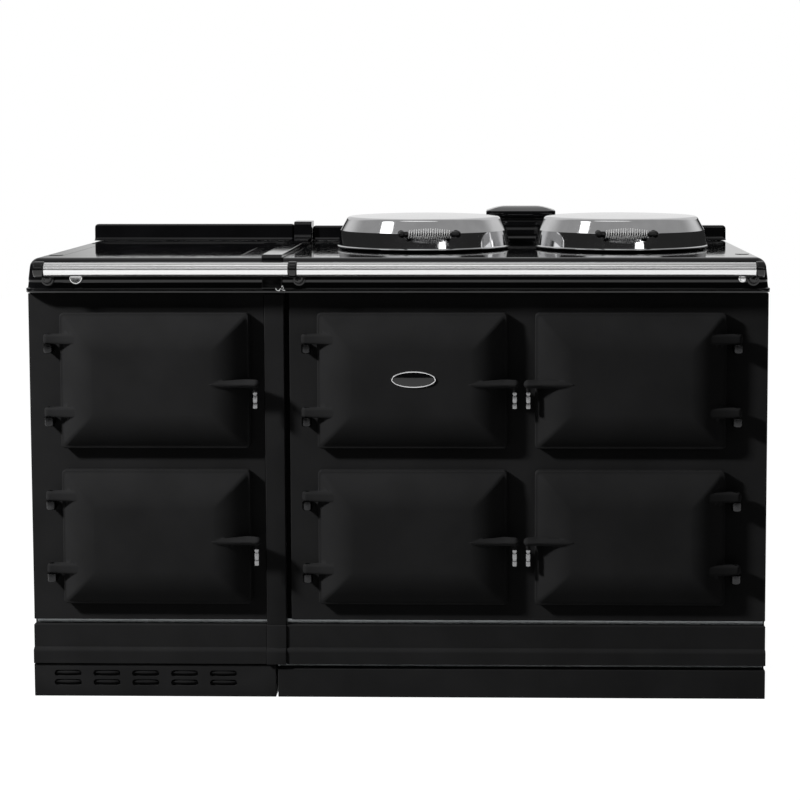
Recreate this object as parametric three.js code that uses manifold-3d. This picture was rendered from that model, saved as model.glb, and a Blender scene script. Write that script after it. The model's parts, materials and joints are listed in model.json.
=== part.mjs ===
// A double-width cast iron range cooker: a four-door main unit with a two-door module beside it.
// Millimetres, +Z up, front towards -Y, origin on the floor under the middle of the overall box.
import * as THREE from 'three'
import { mergeVertices } from 'three/addons/utils/BufferGeometryUtils.js'
import Module from 'manifold-3d'

const wasm = await Module()
wasm.setup()

// ---------------------------------------------------------------- driving dimensions
const fitGap = 0.3                  // between pieces that touch
const pivotGap = 0.5                // between a pin and its bore, and beside a turning arm
const overshoot = 1                 // how far a cutter runs past the faces that it opens
const shortArc = 3                  // facets of small, middling and large round stretches
const middleArc = 4
const longArc = 6

// Doors, and the casting that frames them
const doorWidth = 379
const doorHeight = 272
const leftHingeMargin = 66          // left side of the module to its doors
const leftFreeMargin = 28.5         // the module's doors to the pilaster
const mainHingeMargin = 57          // recess beside the pilaster to the main unit's first doors
const betweenDoors = 55
const rightHingeMargin = 84.5       // last doors to the right side
const pilasterWidth = 40
const recessWidth = 10
const castingThickness = 14
const belowDoors = 37
const betweenRows = 44
const aboveDoors = 38

// Heights of the base
const leftPlinthHeight = 66.5
const mainPlinthHeight = 58
const skirtBottom = 68.5
const skirtHeight = 78.5
const shadowGap = 10                // between the base moulding and the front casting
const plinthGap = 4                 // between the two plinths
const plinthProud = 8
const plinthSetback = 70            // plinths' rear in front of the back

// Base moulding section: a flat face, a roll and a prouder band under it
const skirtFaceProud = 4
const skirtBandProud = 12
const skirtBandHeight = 24
const skirtRollRadius = 8
const pilasterProud = 4

// Louvres in the left plinth
const louvreLength = 55
const louvreHeight = 13
const louvreDepth = 6
const louvrePitch = 79
const louvreMargin = 41
const louvreColumns = 5
const louvreRowCentres = [28.5, 47.5]

// Door section
const doorClearance = 2.5           // door's back to the casting's face
const doorEdgeProud = 20
const plateauProud = 50
const slopeRun = 72
const slopeBulge = 0.5
const slopeSteps = 4
const doorBevel = 5
const doorCorner = 8
const doorCornerShare = 0.3         // corner radius left at the plateau

// Door hinges
const hingeOut = 21                 // door's edge to the hinge axis
const hingeProud = 24
const armHeight = 20
const armReach = 42                 // arm over the door's slope
const armEndProud = 41
const upperArmAbove = 85            // door's centre to the centre of its upper arm
const lowerArmBelow = 62
const knuckleRadius = 11
const lugHeight = 18
const lugWebWidth = 14
const pinRadius = 5
const pinSides = 12                 // of hinge pins and of the bores round them
const rodSides = 16                 // of plain round pieces

// Door latch and the bobbin that hangs from it
const latchThickness = 14
const latchBelowCentre = 3
const latchReach = 14               // door's free edge to the bobbin's axis
const latchNose = 9
const latchProud = 40
const latchRunIn = 6                // past the plateau's edge
const latchRise = 0.5
const latchRoot = 4
const bobbinRadius = 6
const bobbinWaist = 4.6
const bobbinLength = 34
const bobbinStem = 8
const bobbinStemRadius = 3.5
const bobbinRings = 3
const bobbinChamfer = 1
const bobbinSides = 10

// Ovens
const mouthInset = 28               // door's edge to the oven's mouth
const linerWall = 5
const ovenDepth = 470
const plugClearance = 6             // door liner to the mouth
const plugDepth = 20
const plugTaper = 3
const controlPanelThickness = 5
const shelfHeight = 42              // oven floor to the runners' top
const runnerWidth = 8
const runnerHeight = 5
const shelfSideGap = 2
const shelfBar = 6
const shelfFrontSetback = 60
const shelfBars = 9

// Casing
const bodyDepth = 630               // castings' face to the back
const panelThickness = 3
const plateWall = 16                // wall of the top plates round the casing's upper part
const plateThickness = 12

// Top plates
const plateClearance = 3            // castings' top to the plates' bead
const plateOverhang = 6
const plateLip = 30
const fasciaHeight = 69
const beadHeight = 9
const beadRadius = 2
const neckInset = 3.5
const shoulderInset = 6
const shoulderRadius = 20
const plateCorner = 24
const plateLeastCorner = 2
const cornerSteps = 5

// Ceramic hob glass
const glassMarginLeft = 65          // top plate's edge to the glass
const glassMarginRight = 52.5       // glass to the joint strip
const glassFront = 55
const glassRearMargin = 95          // glass to the upstand
const glassThickness = 6
const glassEdgeGap = 0.6

// Upstands, joint strip and flue vent
const upstandBehind = 20            // upstands to the back
const upstandThickness = 25
const leftUpstandHeight = 38
const mainUpstandHeight = 34
const leftUpstandMargin = 8
const rightUpstandMargin = 16
const upstandCove = 7
const upstandRound = 5
const upstandToe = 1
const stripThickness = 7
const stripDrop = 60                // hob surface to the strip's lower end
const stripOverUpstand = 6
const stripRound = 8
const ventCentreFromRight = 486
const ventCapWidth = 156
const ventCapDepth = 110
const ventCapBehind = 25            // cap to the back
const ventCapUnderside = 58
const ventCapEdge = 14
const ventDome = 9
const ventNeckInset = 11
const ventRibs = 3
const ventRibDepth = 3
const ventRibShare = 0.55           // of a rib's pitch
const ventRibSlope = 0.1
const ventDomeInset = 31
const ventCapRound = 3
const ventCorner = 22
const ventLeastCorner = 4

// Hot plates and lids
const lidFromRight = 273.5          // right side to the right lid's centre
const lidSpacing = 424
const lidRadius = 187
const lidLift = 1.5
const lidRimHeight = 3
const lidRimProud = 2
const lidCreaseHeight = 35
const lidCreaseInset = 8
const lidShoulderHeight = 58
const lidShoulderInset = 20
const lidShoulderRadius = 10
const lidCrown = 5
const lidWall = 5
const lidLinerTop = 45
const lidSides = 40
const hotPlateRadius = 165
const hotPlateProud = 5
const hotPlateChamfer = 2
const hotPlateGap = 1
const hotPlateToLiner = 3

// Lid hinges
const lidHingeBehind = 28           // lid's rear to the hinge axis
const lidHingeToUpstand = 45
const lidHingeHeight = 21
const lidKnuckleRadius = 12
const lidArmWidth = 26
const lidArmThickness = 12
const lidArmRoot = 37               // inside the lid's rim
const lidNotch = 19
const lidNotchGap = 1
const lidLinerGap = 0.5
const lidPinSetback = 1
const earThickness = 10
const earFoot = 5

// Wire coil handles
const handleTurns = [5.6, 0]        // degrees that each handle is turned about its lid's centre
const handleHeight = 39
const handleStandoff = 20           // lid's rim to the rod's axis
const handlePostSpan = 114          // between the posts' axes
const postRadius = 4.5
const postHeadRadius = 7.5
const rodRadius = 3.2
const ferruleRadius = 6.2
const ferruleLength = 5
const handleSides = 12
const headRings = 8
const coilTurns = 16
const coilStepsPerTurn = 8
const coilSides = 5
const wireRadius = 1.15
const coilEndRadius = 7.2
const coilMiddleRadius = 11.2

// Towel rails
const railProud = 60
const railAboveBead = 49            // plates' bead to the rails' axis
const railRadius = 13.5
const railSides = 24
const bracketRadius = 16
const leftBracketMargin = 38
const rightBracketMargin = 26
const centreBracketFromJoint = 44.5
const leftBracketWidth = 20
const bracketWidth = 16
const footRadius = 13
const footThickness = 6
const footDrop = 22                 // rail's axis to the foot's centre
const footShift = 9
const bracketArmHalf = 7

// Push button on the left fascia
const buttonFromLeft = 104
const buttonAboveBead = 31
const buttonRadius = 13
const buttonSides = 24
const buttonGap = 0.6
const buttonLength = 15
const buttonDepth = 6               // of the button inside its bore
const buttonTravel = 3
const buttonSlack = 1.5

// ---------------------------------------------------------------- places worked out from them
const leftCastingWidth = leftHingeMargin + doorWidth + leftFreeMargin
const mainCastingWidth = mainHingeMargin + 2 * doorWidth + betweenDoors + rightHingeMargin
const totalWidth = leftCastingWidth + pilasterWidth + recessWidth + mainCastingWidth
const leftSide = -totalWidth / 2
const rightSide = totalWidth / 2
const pilasterLeft = leftSide + leftCastingWidth
const pilasterRight = pilasterLeft + pilasterWidth
const jointLine = pilasterLeft + pilasterWidth / 2
const mainCastingLeft = pilasterRight + recessWidth

const frontReach = railProud + bracketRadius
const face = (frontReach - bodyDepth) / 2
const back = face + bodyDepth
const behind = depth => face + depth
const proud = reach => face - reach

const plinthDepth = bodyDepth - plinthSetback
const upstandFront = bodyDepth - upstandBehind - upstandThickness
const ventCapFront = bodyDepth - ventCapBehind - ventCapDepth
const glassDepth = upstandFront - glassRearMargin - glassFront
const lidDepth = upstandFront - lidHingeToUpstand - lidHingeBehind - lidRadius

const skirtTop = skirtBottom + skirtHeight
const castingBottom = skirtTop + shadowGap
const lowerRow = castingBottom + belowDoors + doorHeight / 2
const upperRow = lowerRow + doorHeight + betweenRows
const castingTop = upperRow + doorHeight / 2 + aboveDoors
const beadBottom = castingTop + plateClearance
const hob = beadBottom + fasciaHeight
const railHeight = beadBottom + railAboveBead

const mouthWidth = doorWidth - 2 * mouthInset
const mouthHeight = doorHeight - 2 * mouthInset
const casingFront = castingThickness + fitGap
const plateLeft = leftSide - plateOverhang
const plateRight = rightSide + plateOverhang
const plateFront = proud(plateLip)
const pocketTop = hob - plateThickness

const columns = {
  left: { centre: leftSide + leftHingeMargin + doorWidth / 2, hinge: -1 },
  middle: { centre: mainCastingLeft + mainHingeMargin + doorWidth / 2, hinge: -1 },
  right: { centre: rightSide - rightHingeMargin - doorWidth / 2, hinge: 1 }
}
const doorPlaces = [
  { name: 'upper_warming', column: columns.left, height: upperRow, oven: true },
  { name: 'lower_warming', column: columns.left, height: lowerRow, oven: true },
  { name: 'control', column: columns.middle, height: upperRow, oven: false },
  { name: 'baking', column: columns.middle, height: lowerRow, oven: true },
  { name: 'roasting', column: columns.right, height: upperRow, oven: true },
  { name: 'simmering', column: columns.right, height: lowerRow, oven: true }
]
const lids = [
  { name: 'left', centre: rightSide - lidFromRight - lidSpacing, turn: handleTurns[0] },
  { name: 'right', centre: rightSide - lidFromRight, turn: handleTurns[1] }
]

// ---------------------------------------------------------------- solids
const unitX = new THREE.Vector3(1, 0, 0)
const unitY = new THREE.Vector3(0, 1, 0)
const unitZ = new THREE.Vector3(0, 0, 1)

function solid(geometry) {
  const bare = new THREE.BufferGeometry()
  bare.setAttribute('position', geometry.attributes.position)
  bare.setIndex(geometry.index)
  const merged = mergeVertices(bare)
  const corners = merged.index.array
  const faces = []
  for (let i = 0; i < corners.length; i += 3) {
    const [a, b, c] = corners.slice(i, i + 3)
    if (a !== b && b !== c && c !== a) faces.push(a, b, c)
  }
  const vertProperties = merged.attributes.position.array
  return new wasm.Manifold(new wasm.Mesh({ numProp: 3, vertProperties, triVerts: Uint32Array.from(faces) }))
}

function block(x, y, z) {
  const geometry = new THREE.BoxGeometry(x[1] - x[0], y[1] - y[0], z[1] - z[0])
  geometry.translate((x[0] + x[1]) / 2, (y[0] + y[1]) / 2, (z[0] + z[1]) / 2)
  return solid(geometry)
}

function extrusion(points, depth, basis, start) {
  const shape = new THREE.Shape(points.map(([u, v]) => new THREE.Vector2(u, v)))
  const geometry = new THREE.ExtrudeGeometry(shape, { depth, bevelEnabled: false })
  geometry.applyMatrix4(new THREE.Matrix4().makeBasis(...basis))
  geometry.translate(start.x, start.y, start.z)
  return solid(geometry)
}

// Outlines in (y, z), (x, z) and (x, y), run along X, Y and Z
function alongX(points, x) {
  return extrusion(points, x[1] - x[0], [unitY, unitZ, unitX], unitX.clone().multiplyScalar(x[0]))
}

function alongY(points, y) {
  const towardsFront = unitY.clone().negate()
  return extrusion(points, y[1] - y[0], [unitX, unitZ, towardsFront], unitY.clone().multiplyScalar(y[1]))
}

function alongZ(points, z) {
  return extrusion(points, z[1] - z[0], [unitX, unitY, unitZ], unitZ.clone().multiplyScalar(z[0]))
}

function rod(axis, radius, length, centre, sides = rodSides) {
  const geometry = new THREE.CylinderGeometry(radius, radius, length, sides)
  const turn = new THREE.Quaternion().setFromUnitVectors(unitY, axis)
  geometry.applyQuaternion(turn)
  geometry.translate(...centre)
  return solid(geometry)
}

// A profile of [radius, height] points turned about an upright axis
function turned(profile, centre, sides) {
  const points = profile.map(([radius, height]) => new THREE.Vector2(radius, height))
  const geometry = new THREE.LatheGeometry(points, sides)
  geometry.rotateX(Math.PI / 2)
  geometry.translate(...centre)
  return solid(geometry)
}

function signedVolume(rings) {
  const middle = rings.flat().reduce((sum, p) => sum.add(new THREE.Vector3(...p)), new THREE.Vector3())
  middle.divideScalar(rings.flat().length)
  const [a, b] = rings[0].slice(0, 2).map(p => new THREE.Vector3(...p).sub(middle))
  const c = new THREE.Vector3(...rings[1][0]).sub(middle)
  return a.dot(b.clone().cross(c))
}

// Rings of [x, y, z] points, each with as many points, skinned and capped
function loft(rings) {
  const count = rings[0].length
  const index = []
  for (let ring = 0; ring < rings.length - 1; ring++) {
    for (let i = 0; i < count; i++) {
      const j = (i + 1) % count
      const [a, b] = [ring * count + i, ring * count + j]
      index.push(a, b, b + count, a, b + count, a + count)
    }
  }
  const last = (rings.length - 1) * count
  for (let i = 1; i < count - 1; i++) {
    index.push(0, i + 1, i, last, last + i, last + i + 1)
  }
  if (signedVolume(rings) < 0) index.reverse()
  const geometry = new THREE.BufferGeometry()
  geometry.setAttribute('position', new THREE.Float32BufferAttribute(rings.flat(2), 3))
  geometry.setIndex(index)
  return solid(geometry)
}

function arc(centre, radius, from, to, steps) {
  return Array.from({ length: steps + 1 }, (_, i) => {
    const angle = THREE.MathUtils.degToRad(from + (to - from) * i / steps)
    return [centre[0] + radius * Math.cos(angle), centre[1] + radius * Math.sin(angle)]
  })
}

function roundedRectangle(halfWidth, halfHeight, radius, steps = 2) {
  const [w, h] = [halfWidth - radius, halfHeight - radius]
  return [
    ...arc([w, h], radius, 0, 90, steps),
    ...arc([-w, h], radius, 90, 180, steps),
    ...arc([-w, -h], radius, 180, 270, steps),
    ...arc([w, -h], radius, 270, 360, steps)
  ]
}

// ---------------------------------------------------------------- materials
function finish(color, roughness, metalness) {
  return new THREE.MeshStandardMaterial({ color, roughness, metalness })
}
const satinIron = finish(0x1c1c1d, 0.5, 0.1)
const glossEnamel = finish(0x0a0a0b, 0.12, 0.1)
const darkMetal = finish(0x161616, 0.6, 0.3)
const chrome = finish(0xd8d8da, 0.12, 1)
const steel = finish(0xb8b8ba, 0.25, 1)
const galvanised = finish(0x8d9092, 0.5, 0.8)
const ovenEnamel = finish(0x2a2b2d, 0.4, 0.1)
const blackGlass = finish(0x050506, 0.05, 0)
const bareIron = finish(0x3a3a3b, 0.45, 0.6)

const cooker = new THREE.Group()

function piece(name, body, material) {
  const { vertProperties, triVerts } = body.getMesh()
  const geometry = new THREE.BufferGeometry()
  geometry.setAttribute('position', new THREE.BufferAttribute(vertProperties, 3))
  geometry.setIndex(new THREE.BufferAttribute(triVerts, 1))
  const mesh = new THREE.Mesh(geometry, material)
  mesh.name = name
  cooker.add(mesh)
  return mesh
}

// ---------------------------------------------------------------- base
function louvreOutline(centreX, centreZ) {
  const end = louvreLength / 2 - louvreHeight / 2
  return [
    ...arc([centreX + end, centreZ], louvreHeight / 2, -90, 90, middleArc),
    ...arc([centreX - end, centreZ], louvreHeight / 2, 90, 270, middleArc)
  ]
}

function leftPlinth() {
  const front = proud(plinthProud)
  const x = [leftSide, jointLine - plinthGap / 2]
  let body = block(x, [front, behind(plinthDepth)], [0, leftPlinthHeight])
  for (const centreZ of louvreRowCentres) {
    for (let column = 0; column < louvreColumns; column++) {
      const centreX = leftSide + louvreMargin + louvreLength / 2 + column * louvrePitch
      const cut = alongY(louvreOutline(centreX, centreZ), [front - overshoot, front + louvreDepth])
      body = body.subtract(cut)
    }
  }
  return body
}

function mainPlinth() {
  const x = [jointLine + plinthGap / 2, rightSide]
  return block(x, [proud(plinthProud), behind(plinthDepth)], [0, mainPlinthHeight])
}

// Section of the base moulding as (y, z), standing out by an extra amount on the pilaster
function skirtSection(extra) {
  const bandTop = skirtBottom + skirtBandHeight
  const rollCentre = [proud(skirtBandProud + extra - skirtRollRadius), bandTop]
  const roll = arc(rollCentre, skirtRollRadius, 180, 90, middleArc)
  return [
    [behind(castingThickness), skirtBottom],
    [behind(castingThickness), skirtTop],
    [proud(skirtFaceProud + extra), skirtTop],
    ...roll.reverse(),
    [proud(skirtBandProud + extra), skirtBottom]
  ].reverse()
}

piece('left_plinth', leftPlinth(), satinIron)
piece('main_plinth', mainPlinth(), satinIron)
piece('left_skirt', alongX(skirtSection(0), [leftSide, pilasterLeft - fitGap]), satinIron)
piece('main_skirt', alongX(skirtSection(0), [pilasterRight + fitGap, rightSide]), satinIron)

// ---------------------------------------------------------------- front castings
const hingeAxisOf = place => place.column.centre + place.column.hinge * (doorWidth / 2 + hingeOut)
const armCentresOf = place => [place.height + upperArmAbove, place.height - lowerArmBelow]

// A lug with its web to the casting and the pin that stands up through the door's arm
function hingeLug(axisX, armCentre) {
  const top = armCentre - armHeight / 2 - pivotGap
  const centre = top - lugHeight / 2
  const web = block(
    [axisX - lugWebWidth / 2, axisX + lugWebWidth / 2],
    [proud(hingeProud), behind(castingThickness / 2)],
    [top - lugHeight, top]
  )
  const lug = rod(unitZ, knuckleRadius, lugHeight, [axisX, proud(hingeProud), centre])
  const pinLength = armHeight + 2 * pivotGap + lugHeight / 2
  const pin = rod(unitZ, pinRadius, pinLength, [axisX, proud(hingeProud), centre + pinLength / 2], pinSides)
  return web.add(lug).add(pin)
}

function mouth(place) {
  return block(
    [place.column.centre - mouthWidth / 2, place.column.centre + mouthWidth / 2],
    [face - overshoot, behind(castingThickness + overshoot)],
    [place.height - mouthHeight / 2, place.height + mouthHeight / 2]
  )
}

function frontCasting(x, places) {
  let body = block(x, [face, behind(castingThickness)], [castingBottom, castingTop])
  for (const place of places) {
    body = body.subtract(mouth(place))
    for (const armCentre of armCentresOf(place)) {
      body = body.add(hingeLug(hingeAxisOf(place), armCentre))
    }
  }
  return body
}

const leftPlaces = doorPlaces.filter(place => place.column === columns.left)
const mainPlaces = doorPlaces.filter(place => place.column !== columns.left)

function jointPilaster() {
  const bar = block(
    [pilasterLeft, pilasterRight],
    [proud(pilasterProud), behind(castingThickness)],
    [skirtTop - overshoot, castingTop]
  )
  return bar.add(alongX(skirtSection(pilasterProud), [pilasterLeft, pilasterRight]))
}

piece('left_front_casting', frontCasting([leftSide, pilasterLeft - fitGap], leftPlaces), satinIron)
piece('main_front_casting', frontCasting([mainCastingLeft, rightSide], mainPlaces), satinIron)
piece('joint_pilaster', jointPilaster(), satinIron)

// ---------------------------------------------------------------- ovens and casing
const linerBox = (place, grow) => ({
  x: [place.column.centre - mouthWidth / 2 - grow, place.column.centre + mouthWidth / 2 + grow],
  z: [place.height - mouthHeight / 2 - grow, place.height + mouthHeight / 2 + grow]
})

function ovenLiner(place) {
  const outer = linerBox(place, linerWall)
  const inner = linerBox(place, 0)
  const y = [behind(casingFront), behind(casingFront + ovenDepth)]
  const body = block(outer.x, y, outer.z)
  return body.subtract(block(inner.x, [y[0] - overshoot, y[1] - linerWall], inner.z))
}

function runners(place) {
  const inner = linerBox(place, 0)
  const y = [behind(casingFront + shelfFrontSetback), behind(casingFront + ovenDepth - linerWall + overshoot)]
  const top = inner.z[0] + shelfHeight
  const leftRunner = block([inner.x[0] - overshoot, inner.x[0] + runnerWidth], y, [top - runnerHeight, top])
  const rightRunner = block([inner.x[1] - runnerWidth, inner.x[1] + overshoot], y, [top - runnerHeight, top])
  return leftRunner.add(rightRunner)
}

function ovenShelf(place) {
  const inner = linerBox(place, -shelfSideGap)
  const bottom = place.height - mouthHeight / 2 + shelfHeight + fitGap
  const z = [bottom, bottom + shelfBar]
  const rear = casingFront + ovenDepth - linerWall - shelfSideGap
  const y = [behind(casingFront + shelfFrontSetback), behind(rear)]
  let body = block(inner.x, y, z)
  const slots = shelfBars + 1
  const pitch = (inner.x[1] - inner.x[0] - shelfBar) / slots
  for (let i = 0; i < slots; i++) {
    const start = inner.x[0] + shelfBar + i * pitch
    const holeX = [start, start + pitch - shelfBar]
    const holeY = [y[0] + shelfBar, y[1] - shelfBar]
    body = body.subtract(block(holeX, holeY, [z[0] - overshoot, z[1] + overshoot]))
  }
  return body
}

// The door of the control compartment closes on a plain touch panel
function controlPanel(place) {
  const outer = linerBox(place, linerWall)
  return block(outer.x, [behind(casingFront), behind(casingFront + controlPanelThickness)], outer.z)
}

// Casing packed with insulation: it has a pocket for each liner and rises into its top plate
function carcass(x, plateX, plinthHeight, places) {
  const bottom = plinthHeight + fitGap
  const lower = block(x, [behind(casingFront), back], [bottom, beadBottom - fitGap])
  const upperFront = plateFront + plateLip + castingThickness
  const upper = block(
    [plateX[0] + plateWall + fitGap, plateX[1] - plateWall - fitGap],
    [upperFront + plateWall + fitGap, back - plateWall - fitGap],
    [beadBottom - overshoot, pocketTop - fitGap]
  )
  let body = lower.add(upper)
  for (const place of places) {
    const pocket = linerBox(place, linerWall + fitGap)
    const depth = place.oven ? ovenDepth : controlPanelThickness
    const y = [behind(casingFront) - overshoot, behind(casingFront + depth + fitGap)]
    body = body.subtract(block(pocket.x, y, pocket.z))
  }
  return body
}

const leftPlateX = [plateLeft, jointLine - fitGap / 2]
const mainPlateX = [jointLine + fitGap / 2, plateRight]
const leftCasingX = [leftSide + panelThickness + fitGap, jointLine - fitGap / 2]
const mainCasingX = [jointLine + fitGap / 2, rightSide - panelThickness - fitGap]

for (const place of doorPlaces.filter(place => place.oven)) {
  const liner = ovenLiner(place)
  piece(`${place.name}_oven_liner`, place.name === 'roasting' ? liner.add(runners(place)) : liner, ovenEnamel)
}
const placeOf = name => doorPlaces.find(place => place.name === name)
piece('roasting_oven_shelf', ovenShelf(placeOf('roasting')), steel)
piece('control_panel', controlPanel(placeOf('control')), blackGlass)
piece('left_carcass', carcass(leftCasingX, leftPlateX, leftPlinthHeight, leftPlaces), galvanised)
piece('main_carcass', carcass(mainCasingX, mainPlateX, mainPlinthHeight, mainPlaces), galvanised)

function sidePanel(x, plinthHeight) {
  return block(x, [behind(casingFront), back], [plinthHeight + fitGap, beadBottom - fitGap])
}
const leftPanelX = [leftSide, leftSide + panelThickness]
const rightPanelX = [rightSide - panelThickness, rightSide]
piece('left_side_panel', sidePanel(leftPanelX, leftPlinthHeight), satinIron)
piece('right_side_panel', sidePanel(rightPanelX, mainPlinthHeight), satinIron)

// ---------------------------------------------------------------- doors
// The section of a door's front: how far it stands out at an inset from its edge
function doorProudAt(inset) {
  const share = (inset - doorBevel) / (slopeRun - doorBevel)
  return doorEdgeProud + (plateauProud - doorEdgeProud) * share * (1 + slopeBulge * (1 - share))
}

function doorRing(place, inset, reach) {
  const share = THREE.MathUtils.clamp(inset / slopeRun, 0, 1)
  const radius = doorCorner * (1 - (1 - doorCornerShare) * share)
  const outline = roundedRectangle(doorWidth / 2 - inset, doorHeight / 2 - inset, radius)
  return outline.map(([x, z]) => [place.column.centre + x, proud(reach), place.height + z])
}

function doorBody(place) {
  const bevelStart = doorEdgeProud - doorBevel
  const rings = [
    doorRing(place, 0, doorClearance),
    doorRing(place, 0, bevelStart),
    doorRing(place, doorBevel * (1 - Math.SQRT1_2), bevelStart + doorBevel * Math.SQRT1_2)
  ]
  for (let step = 0; step <= slopeSteps; step++) {
    const inset = doorBevel + (slopeRun - doorBevel) * step / slopeSteps
    rings.push(doorRing(place, inset, doorProudAt(inset)))
  }
  return loft(rings)
}

// Arm from the door's slope to its knuckle round the hinge pin
function hingeArm(place, armCentre) {
  const axisX = hingeAxisOf(place)
  const inward = -place.column.hinge
  const reach = hingeOut + armReach
  const outline = [
    ...arc([0, hingeProud], knuckleRadius, 90, 270, longArc),
    [reach, hingeProud - knuckleRadius],
    [reach, armEndProud]
  ].map(([u, p]) => [axisX + inward * u, proud(p)])
  if (inward > 0) outline.reverse()
  return alongZ(outline, [armCentre - armHeight / 2, armCentre + armHeight / 2])
}

function hingeBore(place, armCentre) {
  const centre = [hingeAxisOf(place), proud(hingeProud), armCentre]
  return rod(unitZ, pinRadius + pivotGap, armHeight + 2 * overshoot, centre, pinSides)
}

const latchHeightOf = place => place.height - latchBelowCentre
const bobbinAxisOf = place => place.column.centre - place.column.hinge * (doorWidth / 2 + latchReach)

// Latch arm: a fin that runs level from the plateau's edge to a round nose past the free edge
function latchArm(place) {
  const outward = -place.column.hinge
  const outline = [
    ...arc([latchReach, latchProud], latchNose, -90, 90, longArc),
    [-slopeRun - latchRunIn, plateauProud + latchRise],
    [-slopeRun - latchRunIn, plateauProud - latchNose],
    [-slopeRun / 2, doorEdgeProud],
    [-doorBevel, doorEdgeProud - latchRoot]
  ]
  const edge = place.column.centre + outward * doorWidth / 2
  const points = outline.map(([u, p]) => [edge + outward * u, proud(p)])
  if (outward > 0) points.reverse()
  const z = latchHeightOf(place)
  return alongZ(points, [z - latchThickness / 2, z + latchThickness / 2])
}

function door(place) {
  let body = doorBody(place).add(latchArm(place))
  for (const armCentre of armCentresOf(place)) body = body.add(hingeArm(place, armCentre))
  for (const armCentre of armCentresOf(place)) body = body.subtract(hingeBore(place, armCentre))
  return body
}

// Insulated plug on the door's back, tapered to clear the mouth as it swings
function doorLiner(place) {
  const ring = (shrink, depth) => roundedRectangle(
    mouthWidth / 2 - plugClearance - shrink,
    mouthHeight / 2 - plugClearance - shrink,
    doorCorner
  ).map(([x, z]) => [place.column.centre + x, behind(depth), place.height + z])
  return loft([ring(0, -doorClearance + fitGap), ring(0, plugDepth / 2), ring(plugTaper, plugDepth)])
}

// Spool-shaped handle that hangs from the latch arm
function bobbin(place) {
  const top = -fitGap
  const collar = top - bobbinStem
  const end = collar - bobbinLength
  const rim = bobbinRadius - bobbinChamfer
  const ringHeight = (bobbinLength - 2 * bobbinChamfer) / (4 * bobbinRings - 3)
  const profile = [[0, end], [rim, end]]
  for (let i = 0; i < bobbinRings; i++) {
    const start = end + bobbinChamfer + 4 * i * ringHeight
    profile.push([bobbinRadius, start], [bobbinRadius, start + ringHeight])
    if (i === bobbinRings - 1) break
    profile.push([bobbinWaist, start + 2 * ringHeight], [bobbinWaist, start + 3 * ringHeight])
  }
  profile.push([rim, collar], [bobbinStemRadius, collar], [bobbinStemRadius, top], [0, top])
  const under = latchHeightOf(place) - latchThickness / 2
  return turned(profile, [bobbinAxisOf(place), proud(latchProud), under], bobbinSides)
}

for (const place of doorPlaces) {
  piece(`${place.name}_door`, door(place), satinIron)
  if (place.oven) piece(`${place.name}_door_liner`, doorLiner(place), steel)
  piece(`${place.name}_door_handle`, bobbin(place), chrome)
}

// ---------------------------------------------------------------- top plates
// Section of the front and side: inset from the plate's outermost line at each height
const fasciaSection = [
  [beadRadius, beadBottom],
  [0, beadBottom + beadRadius],
  [0, beadBottom + beadHeight - beadRadius],
  [beadRadius, beadBottom + beadHeight],
  [neckInset, beadBottom + beadHeight + beadRadius],
  ...arc([shoulderInset + shoulderRadius, hob - shoulderRadius], shoulderRadius, 180, 90, middleArc)
]

function fasciaProudAt(height) {
  const neck = beadBottom + beadHeight + beadRadius
  const share = (height - neck) / (hob - shoulderRadius - neck)
  return plateLip - neckInset - (shoulderInset - neckInset) * share
}

// One plate: its seam side is upright, and its outer front corner is round
function topPlateBody(outer, seam) {
  const inward = Math.sign(seam - outer)
  const rings = fasciaSection.map(([inset, height]) => {
    const radius = plateCorner - Math.min(inset, plateCorner - plateLeastCorner)
    const edge = outer + inward * inset
    const front = plateFront + inset
    const corner = arc([radius, radius], radius, 180, 270, cornerSteps)
    const outline = [
      [edge, back],
      ...corner.map(([u, v]) => [edge + inward * u, front + v]),
      [seam, front],
      [seam, back]
    ]
    return outline.map(([x, y]) => [x, y, height])
  })
  return loft(rings)
}

// Hollow underneath that the casing rises into
function plateHollow(x) {
  const front = plateFront + plateLip + castingThickness + plateWall
  const z = [beadBottom - overshoot, pocketTop]
  return block([x[0] + plateWall, x[1] - plateWall], [front, back - plateWall], z)
}

const glassX = [plateLeft + glassMarginLeft, pilasterLeft - glassMarginRight]
const glassY = [behind(glassFront), behind(glassFront + glassDepth)]
const buttonX = leftSide + buttonFromLeft
const buttonZ = beadBottom + buttonAboveBead
const buttonBack = proud(fasciaProudAt(buttonZ) - buttonDepth)

function leftTopPlate() {
  const grow = glassEdgeGap
  const recess = block(
    [glassX[0] - grow, glassX[1] + grow],
    [glassY[0] - grow, glassY[1] + grow],
    [hob - glassThickness - fitGap, hob + overshoot]
  )
  const boreLength = buttonDepth + buttonTravel + buttonSlack + plateLip
  const boreEnd = buttonBack + buttonTravel + buttonSlack
  const boreCentre = [buttonX, boreEnd - boreLength / 2, buttonZ]
  const bore = rod(unitY, buttonRadius + buttonGap, boreLength, boreCentre, buttonSides)
  return topPlateBody(...leftPlateX).subtract(plateHollow(leftPlateX)).subtract(recess).subtract(bore)
}

function mainTopPlate() {
  let body = topPlateBody(mainPlateX[1], mainPlateX[0]).subtract(plateHollow(mainPlateX))
  for (const lid of lids) {
    const centre = [lid.centre, behind(lidDepth), hob]
    body = body.subtract(rod(unitZ, hotPlateRadius + hotPlateGap, 4 * plateThickness, centre, lidSides))
  }
  return body
}

function hotPlate(lid) {
  const bottom = pocketTop
  const top = hob + hotPlateProud
  const rim = hotPlateRadius - hotPlateChamfer
  const side = [[hotPlateRadius, bottom], [hotPlateRadius, top - hotPlateChamfer]]
  const profile = [[0, bottom], ...side, [rim, top], [0, top]]
  return turned(profile, [lid.centre, behind(lidDepth), 0], lidSides)
}

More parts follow.
